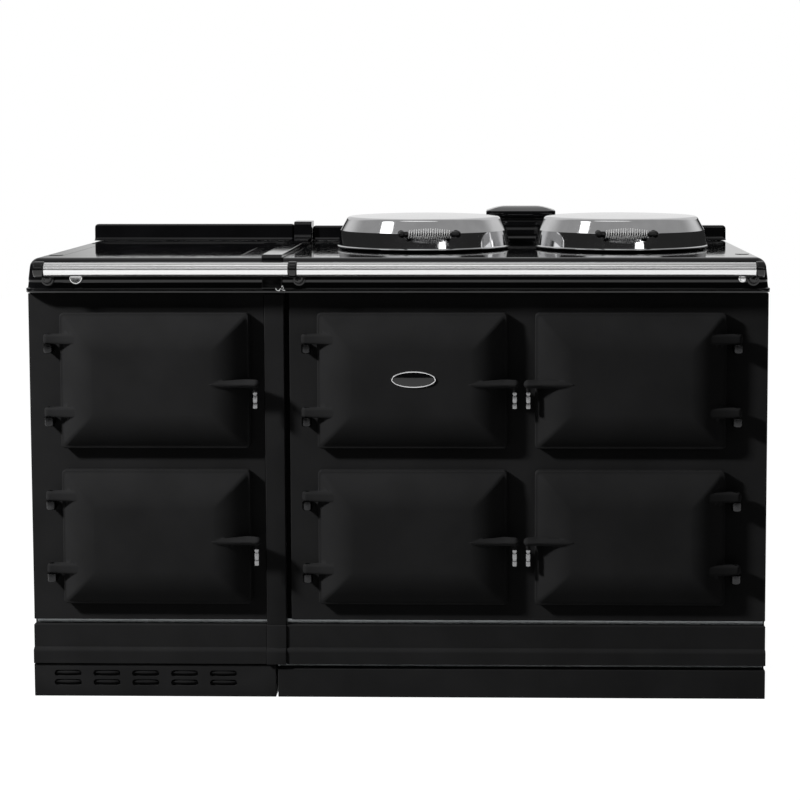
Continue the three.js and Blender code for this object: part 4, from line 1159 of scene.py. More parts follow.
def hot_plate(node):
    """A cast hot plate with a machined top."""
    low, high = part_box(node)
    centre, radius, turn = (low + high) / 2, (high.x - low.x) / 2, 2 * MM
    iron = machined_iron(node.replace("_", " ").capitalize(), centre)
    profile = [(0, low.z), (radius - MM, low.z), (radius, low.z + MM)]
    profile += arc((radius - turn, high.z - turn), turn, 0, 90, 5) + [(0, high.z)]
    disc = turned(node + "_casting", profile, (centre.x, centre.y, 0), (0, 0, 1), 96, iron)
    stands_for(flat_faced(smooth(disc, 34)), "bare_iron", node)


def dress_main_plate(top):
    """The main top plate with the two hot plates in it."""
    low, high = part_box("main_top_plate")
    plate = hollow_plate("main_top_plate", "main_hob_plate", high.x, low.x, top)
    for node in ("boiling_plate", "simmering_plate"):
        low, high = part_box(node)
        centre, radius = (low + high) / 2, (high.x - low.x) / 2 + MM
        bore = bar_profile(radius, low.z - 30 * MM, high.z + 30 * MM)
        hole = turned("hole", bore, (centre.x, centre.y, 0), (0, 0, 1), 96, MATERIALS["gloss"])
        combined(plate, hole, "DIFFERENCE")
        hot_plate(node)
    stands_for(flat_faced(smooth(plate, 34)), "gloss_black_enamel", "main_top_plate")


def dress_glass():
    """The ceramic glass in the left top plate."""
    low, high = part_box("ceramic_hob_glass")
    glass = rounded(block("hob_glass_sheet", low, high, hob_glass(low, high)), 0.7 * MM)
    stands_for(glass, "black_glass", "ceramic_hob_glass")


def dress_caps(top):
    """Round caps over the screws that hold the top plates down."""
    hob = hob_height()
    left_low, left_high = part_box("left_top_plate")
    main_low, main_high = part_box("main_top_plate")
    left, right = left_low.x + 48 * MM, main_high.x - 48 * MM
    front, rear, from_seam = left_low.y + 100 * MM, left_low.y + 510 * MM, 64 * MM
    places = [(left, front), (right, front + 25 * MM), (left, rear), (right - 4 * MM, rear)]
    places += [(left_high.x - from_seam, rear), (main_low.x + from_seam, rear)]
    seat = hob + top.cap_height / 2 - 0.2 * MM
    caps = drawn("hob_screw_caps", [(x, y, seat) for x, y in places])
    tree = stud_tree("Screw caps", MATERIALS["gloss"], 40, True)
    grown(caps, tree, Radius=top.cap_radius, Height=top.cap_height)
    added_to(smooth(caps, 25), "cooker_body")


# ---------------------------------------------------------------- upstands, cover strip and vent
def dress_upstands():
    """The two upstands at the rear, with round ends."""
    turn = 8 * MM
    ends = [(turn * (1 - math.cos(a)), turn * (1 - math.sin(a))) for a in quarter(8)]
    for node in ("left_upstand", "main_upstand"):
        low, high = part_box(node)
        if node == "left_upstand":
            # The plate under it is drawn in at the side
            low.x += 9 * MM
        rings = [upstand_ring(low, high, low.x + along_x, inset) for along_x, inset in ends]
        rings += [upstand_ring(low, high, high.x - along_x, inset) for along_x, inset in reversed(ends)]
        upstand = smooth(skin(node + "_casting", rings, MATERIALS["gloss"]), 34)
        stands_for(upstand, "gloss_black_enamel", node)


def upstand_ring(low, high, x, inset):
    """An upstand's section across X, drawn in at its round ends."""
    cove, turn, toe = 7 * MM, 4.6 * MM, MM
    front, rear, top = low.y + cove + inset, high.y - inset * 0.8, high.z - inset
    section = [(rear, low.z)]
    section += arc((rear - turn, top - turn), turn, 0, 90, 8)
    section += arc((front + turn, top - turn), turn, 90, 180, 8)
    section += arc((front - cove, low.z + toe + cove), cove, 0, -90, 8)
    section.append((front - cove, low.z))
    return [(x, y, z) for y, z in section]


def dress_cover_strip():
    """The cover strip over the seam, from the fascia back over the upstands."""
    low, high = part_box("joint_strip")
    thick, turn, gap = 7 * MM, 8 * MM, 0.3 * MM
    inner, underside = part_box("main_top_plate")[0].y - gap, hob_height() + gap
    top_face, up_front = underside + thick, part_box("main_upstand")[0].y - thick
    section = [(inner, low.z), (inner, underside), (high.y, underside), (high.y, high.z)]
    section += arc((up_front + turn, high.z - turn), turn, 90, 180, 10)
    section += arc((up_front - turn, top_face + turn), turn, 0, -90, 6)
    section += arc((low.y + turn, top_face - turn), turn, 90, 180, 10)
    section.append((low.y, low.z))
    strip = rounded(prism("seam_cover_strip", section, "X", low.x, high.x, MATERIALS["gloss"]), 1.2 * MM)
    stands_for(strip, "gloss_black_enamel", "joint_strip")


def dress_vent():
    """A ribbed neck under a low domed cap."""
    low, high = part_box("flue_vent")
    centre_x, half_width = (low.x + high.x) / 2, (high.x - low.x) / 2
    cap_low, cap_edge = hob_height() + 58 * MM, 14 * MM
    neck_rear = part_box("main_upstand")[0].y - 0.3 * MM

    def ring(inset, front, rear, height):
        radius = max(22 * MM - inset, 4 * MM)
        outline = rounded_rectangle(half_width - inset, (rear - front) / 2, radius, 10)
        return [(centre_x + u, (front + rear) / 2 + v, height) for u, v in outline]

    def neck(dip, height):
        inset = 11 * MM + dip
        return ring(inset, low.y + inset, neck_rear - dip, height)

    def cap(inset, height):
        return ring(inset, low.y + inset, high.y - inset, cap_low + height)

    ribs, steps, groove = 3, 12, 3 * MM
    rib = (cap_low - low.z) / ribs
    rings = [neck(0, low.z)]
    for i in range(ribs):
        for step in range(1, steps + 1):
            up = step / steps
            # Each rib's upper half is a groove
            wave = max(0.0, math.sin(math.tau * (up - 0.5))) if up > 0.5 else 0.0
            rings.append(neck(groove * wave, low.z + rib * (i + up)))
    edge = 3 * MM
    rings += [cap(edge - edge * math.sin(a), edge - edge * math.cos(a)) for a in quarter(5)]
    rings += [cap(edge - edge * math.cos(a), cap_edge - edge + edge * math.sin(a)) for a in quarter(5)]
    dome, dome_run = high.z - cap_low - cap_edge, 42 * MM
    for s in (0.15, 0.35, 0.6, 0.8, 1):
        rings.append(cap(edge + dome_run * s, cap_edge + dome * math.sin(math.pi / 2 * s)))
    vent = smooth(skin("flue_vent_casting", rings, MATERIALS["gloss"]), 50)
    stands_for(vent, "gloss_black_enamel", "flue_vent")


# ---------------------------------------------------------------- lids
def lid_outside(radius):
    """Outside of a lid from its rim up, as (radius, height above the hob)."""
    full, rim, lift, shoulder = radius / MM, 1.6, 3.5, 10.0
    crown = full - 30
    points = arc((full - rim, lift + rim), rim, -90, 90, 8)
    points += [(full - 2.6, lift + 2 * rim + 0.8)]
    points += arc((full - 12, 37.5), 4.0, 8, 22, 3)
    points += arc((crown, 58), shoulder, 14, 90, 10)
    points += [(crown * s, 68 + 5 * (1 - s * s)) for s in (0.9, 0.75, 0.55, 0.35, 0.15, 0.0)]
    return from_millimetres(points)


def lid_inside(radius):
    """Inside of a lid's shell from its crown down, as (radius, height above the hob)."""
    full = radius / MM - 5
    return from_millimetres([(0, 63), (full - 32, 63), (full - 20, 56), (full - 8, 35), (full - 2, 1.5)])


def lid_shell(side, centre, radius, hinge, arm):
    """The drawn outer shell, with a notch at the rear for the hinge arm."""
    bright = MATERIALS["chrome"]
    profile = lid_outside(radius) + lid_inside(radius)
    profile.append(profile[0])
    shell = turned(side + "_lid_shell", profile, centre, (0, 0, 1), 128, bright)
    rear = centre.y + radius
    notch_low = (centre.x - arm - MM, rear - 19 * MM, centre.z)
    notch_high = (centre.x + arm + MM, rear + 5 * MM, hinge.z + 7 * MM)
    combined(shell, block("notch", notch_low, notch_high, bright), "DIFFERENCE")
    stands_for(smooth(shell, 30), "polished_chrome", side + "_lid")


def lid_lining(side, centre, radius, hinge, arm):
    """The lining with its pressed ring, and the hinge arm at its rear."""
    plain = MATERIALS["steel"]
    bottom, crease, ceiling, pressed, turn = 8 * MM, radius - 13.6 * MM, 45 * MM, 1.2 * MM, 3 * MM
    profile = [(0, bottom), (radius * 0.5, bottom), (radius * 0.52, bottom + pressed)]
    profile += [(radius * 0.82, bottom + pressed), (radius * 0.84, bottom)]
    profile += arc((radius - 12 * MM, bottom + turn), turn, -90, 0, 4)
    profile += [(crease, 35 * MM), (crease - 6 * MM, ceiling), (0, ceiling)]
    lining = turned(side + "_lid_lining", profile, centre, (0, 0, 1), 96, plain)
    bar_low = (centre.x - arm, centre.y + radius - 37 * MM, hinge.z - 6 * MM)
    bar = block("bar", bar_low, (centre.x + arm, hinge.y, hinge.z + 6 * MM), plain)
    knuckle = turned("knuckle", bar_profile(12 * MM, -arm, arm), hinge, (1, 0, 0), 40, plain)
    hole = turned("hole", bar_profile(5.5 * MM, -20 * MM, 20 * MM), hinge, (1, 0, 0), 24, plain)
    combined(lining, combined(bar, knuckle, "UNION"), "UNION")
    combined(lining, hole, "DIFFERENCE")
    stands_for(smooth(lining, 30), "polished_steel", side + "_lid_liner")


def lid_place(side):
    """Centre of a lid on the hob, and its radius."""
    low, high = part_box(side + "_lid")
    return Vector(((low.x + high.x) / 2, (low.y + high.y) / 2, hob_height())), (high.x - low.x) / 2


def dress_lids():
    """The two lids with their linings and hinge brackets."""
    for side in LIDS:
        centre, radius = lid_place(side)
        hinge, arm = Vector(JOINTS[side + "_lid_hinge"]["pos_m"]), 13 * MM
        lid_shell(side, centre, radius, hinge, arm)
        lid_lining(side, centre, radius, hinge, arm)
        node = side + "_lid_hinge_bracket"
        bracket = copy_of_node(node, side + "_lid_hinge_casting", MATERIALS["bracket"])
        stands_for(rounded(bracket, 0.8 * MM), "dark_bracket", node)


# ---------------------------------------------------------------- lid handles
def coil_tree(material):
    """Wire wound up Z from the origin, wider at its middle."""
    tree = NodeTree("Wound wire")
    wire, reach, end, middle, turns = (
        tree.size(name) for name in ("Wire", "Length", "End radius", "Middle radius", "Turns")
    )
    coil = tree.add("GeometryNodeCurveSpiral", Resolution=28, Rotations=turns, Height=reach,
                    Start_Radius=end, End_Radius=end)
    factor = tree.add("GeometryNodeSplineParameter").outputs["Factor"]
    swell = tree.maths("SINE", tree.maths("MULTIPLY", factor, math.pi))
    grow = tree.maths("DIVIDE", tree.maths("SUBTRACT", middle, end), end)
    across = tree.scaled(tree.add("GeometryNodeInputPosition").outputs[0], (1.0, 1.0, 0.0))
    scale = tree.maths("MULTIPLY", swell, grow)
    stretch = tree.add("ShaderNodeVectorMath", {"operation": "SCALE"}, Scale=scale)
    tree.group.links.new(across, stretch.inputs[0])
    barrel = tree.add("GeometryNodeSetPosition", Geometry=coil.outputs["Curve"], Offset=stretch.outputs[0])
    return tree.close(tree.round_bars(barrel.outputs[0], wire), material)


def handle_frame(name, material, reach):
    """Rod, ferrules, heads and posts of a handle, in front of a lid centred on the origin."""
    half_span, lid_radius = 57 * MM, 177.4 * MM
    lid_face = math.sqrt(lid_radius ** 2 - half_span ** 2)
    head, ferrule, stand = 7.5 * MM, 6.2 * MM, reach - lid_face
    rod = bar_profile(3.2 * MM, -half_span, half_span)
    holder = turned("rod", rod, (0, -reach, HANDLE_HEIGHT), (1, 0, 0), 24, material)
    post = [(0, 0), (7 * MM, 0), (7 * MM, 1.6 * MM), (5 * MM, 4 * MM), (4.2 * MM, 12 * MM)]
    post += [(4.6 * MM, stand), (0, stand)]
    ball = arc((0, 0), head, -90, 90, 16)
    inner = half_span - head - 5 * MM
    collar = [(0, inner)] + arc((ferrule - MM, inner + MM), MM, -90, 0, 3)
    collar += [(ferrule, half_span), (0, half_span)]
    for side in (-1, 1):
        x = side * half_span
        parts = [
            turned("post", post, (x, -lid_face, HANDLE_HEIGHT), (0, -1, 0), 32, material),
            turned("head", ball, (x, -reach, HANDLE_HEIGHT), (0, 0, 1), 32, material),
            turned("ferrule", collar, (0, -reach, HANDLE_HEIGHT), (side, 0, 0), 32, material),
        ]
        for part in parts:
            combined(holder, part, "UNION")
    holder.name = holder.data.name = name
    return smooth(holder, 40)


def dress_handles(top):
    """The two handles: wound wire on a rod between two posts. The left one is turned a little."""
    tree = coil_tree(MATERIALS["coil"])
    for side, turn in zip(LIDS, (5.6, 0.0)):
        centre, radius = lid_place(side)
        reach = radius + 20 * MM
        place = Matrix.Translation(centre) @ Matrix.Rotation(math.radians(turn), 4, "Z")
        holder = handle_frame(side + "_lid_handle_posts", MATERIALS["bracket"], reach)
        holder.data.transform(place)
        stands_for(holder, "dark_bracket", side + "_lid_handle_frame")
        run = 86.4 * MM
        wire = drawn(side + "_lid_handle_wire", [(0, 0, 0)])
        grown(wire, tree, Wire=top.wire, Length=run, End_radius=top.coil_end, Middle_radius=top.coil_middle,
              Turns=float(top.coil_turns))
        lay = Matrix.Translation((-run / 2, -reach, HANDLE_HEIGHT)) @ Matrix.Rotation(math.pi / 2, 4, "Y")
        wire.data.transform(place @ lay)
        stands_for(smooth(wire, 80), "polished_chrome", side + "_lid_handle_coil")


# ---------------------------------------------------------------- rails, button and fascia
def dress_rails():
    """The two towel rails and their three brackets."""
    for node in ("left_towel_rail", "main_towel_rail"):
        low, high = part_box(node)
        radius, chamfer, steps = (high.z - low.z) / 2, 0.8 * MM, 24
        profile = [(0, low.x), (radius - chamfer, low.x), (radius, low.x + chamfer)]
        profile += [(radius, low.x + (high.x - low.x) * i / steps) for i in range(1, steps)]
        profile += [(radius, high.x - chamfer), (radius - chamfer, high.x), (0, high.x)]
        centre = (0, (low.y + high.y) / 2, (low.z + high.z) / 2)
        bar = turned(node + "_bar", profile, centre, (1, 0, 0), 72, MATERIALS["steel"])
        stands_for(smooth(bar, 32), "polished_steel", node)
    rail_low, rail_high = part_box("main_towel_rail")
    axis_y, axis_z = (rail_low.y + rail_high.y) / 2, (rail_low.z + rail_high.z) / 2
    # Each bracket's foot stands to one side of its disc. Shifts and widths are in millimetres
    for place, shift, width in (("left", 9, 20), ("centre", 9, 16), ("right", -9, 16)):
        node, shift, width = place + "_rail_bracket", shift * MM, width * MM
        low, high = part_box(node)
        x = low.x + width / 2 if shift > 0 else high.x - width / 2
        casting = rail_bracket(node + "_casting", (x, axis_y, axis_z), shift, width, high.y)
        stands_for(casting, "dark_bracket", node)


def rail_bracket(name, axis, shift, width, back):
    """A disc at the rail's end, a waisted arm and a round foot, cast in one."""
    black = MATERIALS["bracket"]
    x, axis_y, axis_z = axis
    half, edge, radius = width / 2, 2.2 * MM, 16 * MM
    profile = [(0, -half)] + arc((radius - edge, -half + edge), edge, -90, 0, 4)
    profile += arc((radius - edge, half - edge), edge, 0, 90, 4) + [(0, half)]
    disc = turned(name, profile, axis, (1, 0, 0), 48, black)
    foot_z, foot_radius, rim, foot_round = axis_z - 22 * MM, 13 * MM, 3.4 * MM, 2.6 * MM
    profile = [(0, 0), (foot_radius, 0), (foot_radius, rim)]
    profile += arc((foot_radius - foot_round, rim), foot_round, 0, 90, 4) + [(0, rim + foot_round)]
    foot = turned("foot", profile, (x + shift, back, foot_z), (0, -1, 0), 48, black)
    start, end = Vector((x, axis_y + 4 * MM, axis_z)), Vector((x + shift, back - 2 * MM, foot_z))
    rings, steps = [], 12
    for i in range(steps + 1):
        t = i / steps
        centre = start.lerp(end, t)
        waist = (6.0 + 2.6 * (2 * t - 1) ** 2) * MM
        rings.append([
            (centre.x + waist * math.cos(a), centre.y, centre.z + waist * math.sin(a)) for a in full_turn(24)
        ])
    casting = merged(name, [disc, foot, skin("arm", rings, black)])
    return as_cast(casting, 0.9 * MM, 4)


def dress_button():
    """The push button on the fascia, with a dished face."""
    low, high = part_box("hob_button")
    radius, depth, turn = (high.x - low.x) / 2, high.y - low.y, 2 * MM
    centre = ((low.x + high.x) / 2, high.y, (low.z + high.z) / 2)
    profile = [(0, 0), (radius, 0), (radius, depth - turn)]
    profile += arc((radius - turn, depth - turn), turn, 0, 90, 6)[1:]
    profile += [(radius * 0.7, depth - 0.4 * MM), (radius * 0.4, depth - 0.9 * MM), (0, depth - 1.1 * MM)]
    button = turned("hob_push_button", profile, centre, (0, -1, 0), 48, MATERIALS["steel"])
    stands_for(smooth(button, 40), "polished_chrome", "hob_button")


def dress_stud():
    """A small turned stud in the fascia, by the right bracket."""
    sunk, wide, narrow, collar, end, turn = -0.6 * MM, 8 * MM, 5.4 * MM, 5 * MM, 10 * MM, MM
    profile = [(0, sunk), (wide, sunk), (wide, collar)] + arc((wide - turn, collar), turn, 0, 45, 3)
    profile += [(6.2 * MM, 6.6 * MM), (narrow, end)] + arc((narrow - turn, end), turn, 0, 90, 4)
    profile.append((0, 11.4 * MM))
    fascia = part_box("main_top_plate")[0].y + 5.2 * MM
    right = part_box("right_rail_bracket")[0].x
    place = (right - 8.2 * MM, fascia, 852 * MM)
    stud = turned("fascia_stud", profile, place, (0, -1, 0), 40, MATERIALS["steel"])
    added_to(smooth(stud, 40), "cooker_body")


def dress_clip():
    """A small spring clip of bent wire at the foot of the cover strip."""
    low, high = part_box("joint_strip")
    wire = 1.3 * MM
    bends = from_millimetres([(-9, 2), (-7, -4), (-2, -6), (1, -1), (5, 4.5), (7, 0), (3, -4), (10, -5)])
    start = Vector((high.x - 4 * MM, low.y + wire, low.z + 1.5 * MM))
    path = [start + Vector((u, 0, v)) for u, v in bends]
    rings = []
    for i, centre in enumerate(path):
        run = (path[min(i + 1, len(path) - 1)] - path[max(i - 1, 0)]).normalized()
        across = Vector((-run.z, 0, run.x))
        rings.append([
            centre + across * wire * math.cos(a) + Vector((0, wire * math.sin(a), 0)) for a in full_turn(10)
        ])
    clip = skin("strip_clip", rings, MATERIALS["steel"])
    added_to(smooth(clip, 60), "cooker_body")


# ---------------------------------------------------------------- floor, light and camera
def backdrop_material():
    """Pale floor that is white to the camera and in gloss and glass, and keeps the object's shadow."""
    material = bpy.data.materials.new("Pale floor")
    material.use_nodes = True
    tree = material.node_tree
    shader = tree.nodes["Principled BSDF"]
    shader.inputs["Base Color"].default_value = (0.16, 0.16, 0.16, 1.0)
    shader.inputs["Roughness"].default_value = 0.9
    shader.inputs["Specular IOR Level"].default_value = 0.0
    rays = tree.nodes.new("ShaderNodeLightPath").outputs
    seen = shader_maths(tree, "ADD", rays["Is Glossy Ray"], rays["Is Camera Ray"])
    seen = shader_maths(tree, "ADD", rays["Is Transmission Ray"], seen)
    glow = tree.nodes.new("ShaderNodeEmission")
    tree.links.new(seen, glow.inputs["Strength"])
    both = tree.nodes.new("ShaderNodeAddShader")
    tree.links.new(shader.outputs[0], both.inputs[0])
    tree.links.new(glow.outputs[0], both.inputs[1])
    tree.links.new(both.outputs[0], tree.nodes["Material Output"].inputs["Surface"])
    return material


def make_floor():
    """A large square under the cooker, on which only its shadow shows."""
    half = 9.0
    corners = [(-half, -half, 0), (half, -half, 0), (half, half, 0), (-half, half, 0)]
    mesh = bpy.data.meshes.new("floor")
    mesh.from_pydata(corners, [], [(0, 1, 2, 3)])
    mesh.materials.append(backdrop_material())
    in_scene("floor", mesh)


def make_world():
    """White to the camera. In gloss it is pale behind and high in front, and nearly black elsewhere."""
    world = bpy.data.worlds.new("Studio")
    bpy.context.scene.world = world
    world.use_nodes = True
    tree = world.node_tree
    background = tree.nodes["Background"]
    rays = tree.nodes.new("ShaderNodeLightPath").outputs
    parts = tree.nodes.new("ShaderNodeSeparateXYZ")
    tree.links.new(tree.nodes.new("ShaderNodeTexCoord").outputs["Generated"], parts.inputs[0])

    def maths(operation, first, second):
        return shader_maths(tree, operation, first, second)

    def between(value, start, end, low, high):
        """Runs softly from one value to another between two places."""
        node = tree.nodes.new("ShaderNodeMapRange")
        node.interpolation_type = "SMOOTHSTEP"
        for name, number in (("From Min", start), ("From Max", end), ("To Min", low), ("To Max", high)):
            node.inputs[name].default_value = number
        tree.links.new(value, node.inputs["Value"])
        return node.outputs["Result"]

    depth, height = parts.outputs["Y"], parts.outputs["Z"]
    raised = between(maths("ADD", height, maths("MULTIPLY", depth, 0.3)), 0.36, 0.44, 0.0, 1.0)
    behind = maths("MULTIPLY", between(depth, 0.2, 0.7, 0.3, 0.6), raised)
    straight_behind = between(depth, 0.955, 0.985, 0.0, 0.8)
    high_band = maths("MULTIPLY", between(height, 0.3, 0.45, 0.0, 1.0), between(height, 0.5, 0.6, 1.0, 0.0))
    front_high = maths("MULTIPLY", high_band, between(depth, -0.6, -0.5, 1.0, 0.0))
    rear = maths("MAXIMUM", behind, straight_behind)
    glossy = maths("MAXIMUM", maths("MAXIMUM", rear, front_high), 0.02)
    seen = maths("MAXIMUM", rays["Is Camera Ray"], rays["Is Transmission Ray"])
    direct = maths("MAXIMUM", seen, maths("MULTIPLY", rays["Is Glossy Ray"], glossy))
    other = maths("SUBTRACT", 1.0, maths("MAXIMUM", seen, rays["Is Glossy Ray"]))
    strength = maths("ADD", direct, maths("MULTIPLY", other, 0.008))
    tree.links.new(strength, background.inputs["Strength"])
    background.inputs["Color"].default_value = (1.0, 1.0, 1.0, 1.0)


# Name, azimuth (0 from the front, negative from the left), elevation, distance, width, height, watts, and
# whether polished pieces show it
LAMPS = (
    ("key", -61, 33, 4.2, 0.45, 0.45, 150, False),
    ("high left softbox", -63, 43, 4.0, 1.1, 1.1, 6, True),
    ("front softbox", 0, 52, 4.5, 3.0, 0.9, 3, False),
    ("right glint", 29, 19.5, 4.2, 0.9, 0.5, 3, True),
    ("top softbox", -10, 74, 3.6, 2.4, 1.0, 5, True),
)


def make_lamp(name, azimuth, elevation, distance, width, height, watts, seen):
    """An oval softbox that faces the middle of the front."""
    target = Vector((0.0, -0.28, 0.5))
    turn, rise = math.radians(azimuth), math.radians(elevation)
    toward = Vector((math.sin(turn) * math.cos(rise), -math.cos(turn) * math.cos(rise), math.sin(rise)))
    light = bpy.data.lights.new(name, "AREA")
    light.shape = "ELLIPSE"
    light.size, light.size_y, light.energy = width, height, watts
    lamp = in_scene(name, light)
    lamp.location = target + toward * distance
    lamp.visible_glossy = seen
    lamp.rotation_euler = (-toward).to_track_quat("-Z", "Y").to_euler()


def make_camera():
    """The photograph's view: slightly from the right and above, through a long lens."""
    camera = bpy.data.cameras.new("camera")
    camera.lens, camera.sensor_width = 85.53, 36.0
    camera.shift_x, camera.shift_y = -0.07, -0.145
    viewer = in_scene("camera", camera)
    viewer.location = (0.2019, -4.0476, 1.1404)
    viewer.rotation_euler = [math.radians(angle) for angle in (90 - 4.577, 0.1075, 1.2653)]
    bpy.context.scene.camera = viewer


def set_stage():
    """Floor, world, lamps and camera."""
    bpy.context.scene.view_settings.view_transform = "Standard"
    make_floor()
    make_world()
    for lamp in LAMPS:
        make_lamp(*lamp)
    make_camera()


# ---------------------------------------------------------------- operators and panel
class COOKER_OT_stage(bpy.types.Operator):
    """Floor, world, lamps and camera"""

    bl_idname = "cooker.stage"
    bl_label = "Stage"
    bl_options = {"REGISTER", "UNDO"}

    def execute(self, context):
        set_stage()
        return {"FINISHED"}


class COOKER_OT_plinths(bpy.types.Operator):
    """The plinths, with the louvres of the left one"""

    bl_idname = "cooker.plinths"
    bl_label = "Plinths"
    bl_options = {"REGISTER", "UNDO"}

    def execute(self, context):
        dress_plinths(context.scene.cooker_finishes)
        return {"FINISHED"}


class COOKER_OT_base_mouldings(bpy.types.Operator):
    """The mouldings over the plinths"""

    bl_idname = "cooker.base_mouldings"
    bl_label = "Base mouldings"
    bl_options = {"REGISTER", "UNDO"}

    def execute(self, context):
        dress_base_mouldings(context.scene.cooker_finishes)
        return {"FINISHED"}


class COOKER_OT_side_panels(bpy.types.Operator):
    """The plain enamelled sides"""

    bl_idname = "cooker.side_panels"
    bl_label = "Side panels"
    bl_options = {"REGISTER", "UNDO"}

    def execute(self, context):
        dress_side_panels()
        return {"FINISHED"}


class COOKER_OT_pilaster(bpy.types.Operator):
    """The bar between the two front castings, with its seal"""

    bl_idname = "cooker.pilaster"
    bl_label = "Joint pilaster"
    bl_options = {"REGISTER", "UNDO"}

    def execute(self, context):
        dress_pilaster()
        return {"FINISHED"}


class COOKER_OT_castings(bpy.types.Operator):
    """Front castings with their door mouths and hinge lugs"""

    bl_idname = "cooker.castings"
    bl_label = "Front castings"
    bl_options = {"REGISTER", "UNDO"}

    def execute(self, context):
        dress_castings(context.scene.cooker_doors, context.scene.cooker_finishes)
        return {"FINISHED"}


class COOKER_OT_ovens(bpy.types.Operator):
    """Oven linings, casing and shelf"""

    bl_idname = "cooker.ovens"
    bl_label = "Ovens"
    bl_options = {"REGISTER", "UNDO"}

    def execute(self, context):
        dress_ovens()
        return {"FINISHED"}


class COOKER_OT_control_panel(bpy.types.Operator):
    """Glass control panel with its touch points"""

    bl_idname = "cooker.control_panel"
    bl_label = "Control panel"
    bl_options = {"REGISTER", "UNDO"}

    def execute(self, context):
        dress_control_panel()
        return {"FINISHED"}


class COOKER_OT_doors(bpy.types.Operator):
    """Doors with their linings, seals, bobbins and badge"""

    bl_idname = "cooker.doors"
    bl_label = "Doors"
    bl_options = {"REGISTER", "UNDO"}

    def execute(self, context):
        dress_doors(context.scene.cooker_doors)
        return {"FINISHED"}


class COOKER_OT_top_plates(bpy.types.Operator):
    """Top plates with the hob glass and the hot plates"""

    bl_idname = "cooker.top_plates"
    bl_label = "Top plates"
    bl_options = {"REGISTER", "UNDO"}

    def execute(self, context):
        dress_left_plate(context.scene.cooker_top)
        dress_main_plate(context.scene.cooker_top)
        dress_glass()
        return {"FINISHED"}


class COOKER_OT_screw_caps(bpy.types.Operator):
    """Caps over the screws in the top plates"""

    bl_idname = "cooker.screw_caps"
    bl_label = "Screw caps"
    bl_options = {"REGISTER", "UNDO"}

    def execute(self, context):
        dress_caps(context.scene.cooker_top)
        return {"FINISHED"}


class COOKER_OT_upstands(bpy.types.Operator):
    """The two upstands at the rear"""

    bl_idname = "cooker.upstands"
    bl_label = "Upstands"
    bl_options = {"REGISTER", "UNDO"}

    def execute(self, context):
        dress_upstands()
        return {"FINISHED"}


class COOKER_OT_cover_strip(bpy.types.Operator):
    """The strip over the seam of the top plates"""

    bl_idname = "cooker.cover_strip"
    bl_label = "Cover strip"
    bl_options = {"REGISTER", "UNDO"}

    def execute(self, context):
        dress_cover_strip()
        return {"FINISHED"}


class COOKER_OT_vent(bpy.types.Operator):
    """The ribbed flue vent"""

    bl_idname = "cooker.vent"
    bl_label = "Flue vent"
    bl_options = {"REGISTER", "UNDO"}

    def execute(self, context):
        dress_vent()
        return {"FINISHED"}


class COOKER_OT_lids(bpy.types.Operator):
    """Domed lids with their linings and hinge brackets"""

    bl_idname = "cooker.lids"
    bl_label = "Lids"
    bl_options = {"REGISTER", "UNDO"}

    def execute(self, context):
        dress_lids()
        return {"FINISHED"}


class COOKER_OT_lid_handles(bpy.types.Operator):
    """Wound wire handles on their posts"""

    bl_idname = "cooker.lid_handles"
    bl_label = "Lid handles"
    bl_options = {"REGISTER", "UNDO"}

    def execute(self, context):
        dress_handles(context.scene.cooker_top)
        return {"FINISHED"}


class COOKER_OT_rails(bpy.types.Operator):
    """Towel rails with their brackets"""

    bl_idname = "cooker.rails"
    bl_label = "Rails"
    bl_options = {"REGISTER", "UNDO"}

    def execute(self, context):
        dress_rails()
        return {"FINISHED"}


class COOKER_OT_button(bpy.types.Operator):
    """The push button on the left fascia"""

    bl_idname = "cooker.button"
    bl_label = "Push button"
    bl_options = {"REGISTER", "UNDO"}

    def execute(self, context):
        dress_button()
        return {"FINISHED"}


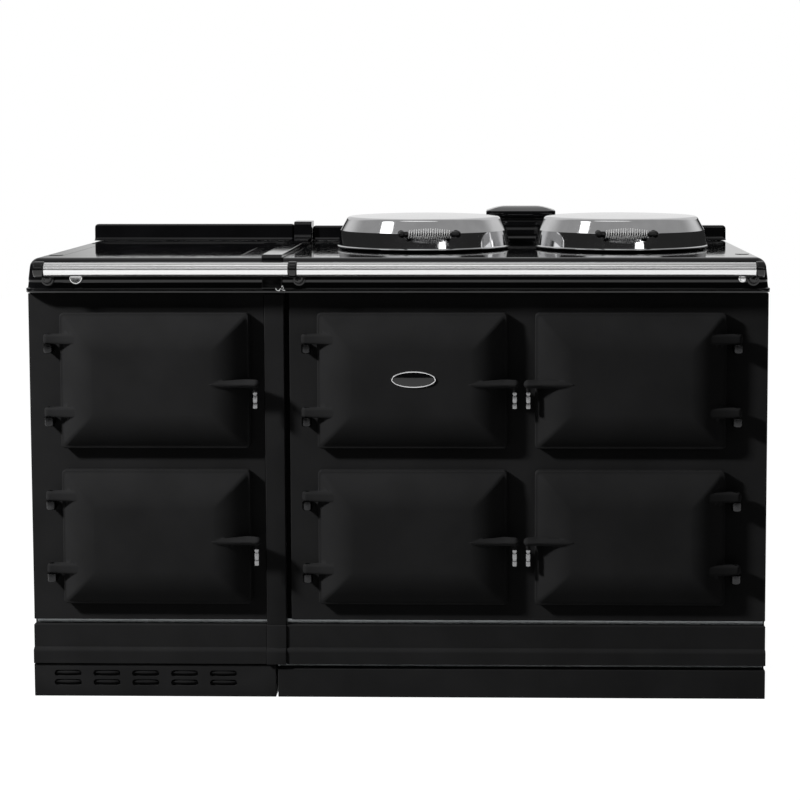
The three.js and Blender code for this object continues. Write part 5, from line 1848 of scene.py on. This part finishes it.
class COOKER_OT_fascia_pieces(bpy.types.Operator):
    """The stud and the spring clip on the fascia"""

    bl_idname = "cooker.fascia_pieces"
    bl_label = "Stud and clip"
    bl_options = {"REGISTER", "UNDO"}

    def execute(self, context):
        dress_stud()
        dress_clip()
        return {"FINISHED"}


OPERATORS = (
    COOKER_OT_stage,
    COOKER_OT_plinths,
    COOKER_OT_base_mouldings,
    COOKER_OT_side_panels,
    COOKER_OT_pilaster,
    COOKER_OT_castings,
    COOKER_OT_ovens,
    COOKER_OT_control_panel,
    COOKER_OT_doors,
    COOKER_OT_top_plates,
    COOKER_OT_screw_caps,
    COOKER_OT_upstands,
    COOKER_OT_cover_strip,
    COOKER_OT_vent,
    COOKER_OT_lids,
    COOKER_OT_lid_handles,
    COOKER_OT_rails,
    COOKER_OT_button,
    COOKER_OT_fascia_pieces,
)


class COOKER_PT_panel(bpy.types.Panel):
    """Lists the cooker's settings and steps"""

    bl_idname = "COOKER_PT_panel"
    bl_label = "Range cooker"
    bl_space_type = "VIEW_3D"
    bl_region_type = "UI"
    bl_category = "Cooker"

    def draw(self, context):
        for name, group in SETTINGS.items():
            box, settings = self.layout.box(), getattr(context.scene, name)
            for setting in group.__annotations__:
                box.prop(settings, setting)
        for step in OPERATORS:
            self.layout.operator(step.bl_idname)


SETTINGS = {"cooker_doors": CookerDoors, "cooker_top": CookerTop, "cooker_finishes": CookerFinishes}


def register():
    for group in (*SETTINGS.values(), *OPERATORS, COOKER_PT_panel):
        bpy.utils.register_class(group)
    for name, group in SETTINGS.items():
        setattr(bpy.types.Scene, name, bpy.props.PointerProperty(type=group))


def unregister():
    for name in SETTINGS:
        delattr(bpy.types.Scene, name)
    for group in (COOKER_PT_panel, *reversed(OPERATORS), *SETTINGS.values()):
        bpy.utils.unregister_class(group)


def main():
    """Dresses the frame step by step."""
    register()
    make_materials(bpy.context.scene.cooker_finishes)
    for step in OPERATORS:
        getattr(bpy.ops.cooker, step.bl_idname.split(".")[1])()


if __name__ == "__main__":
    main()
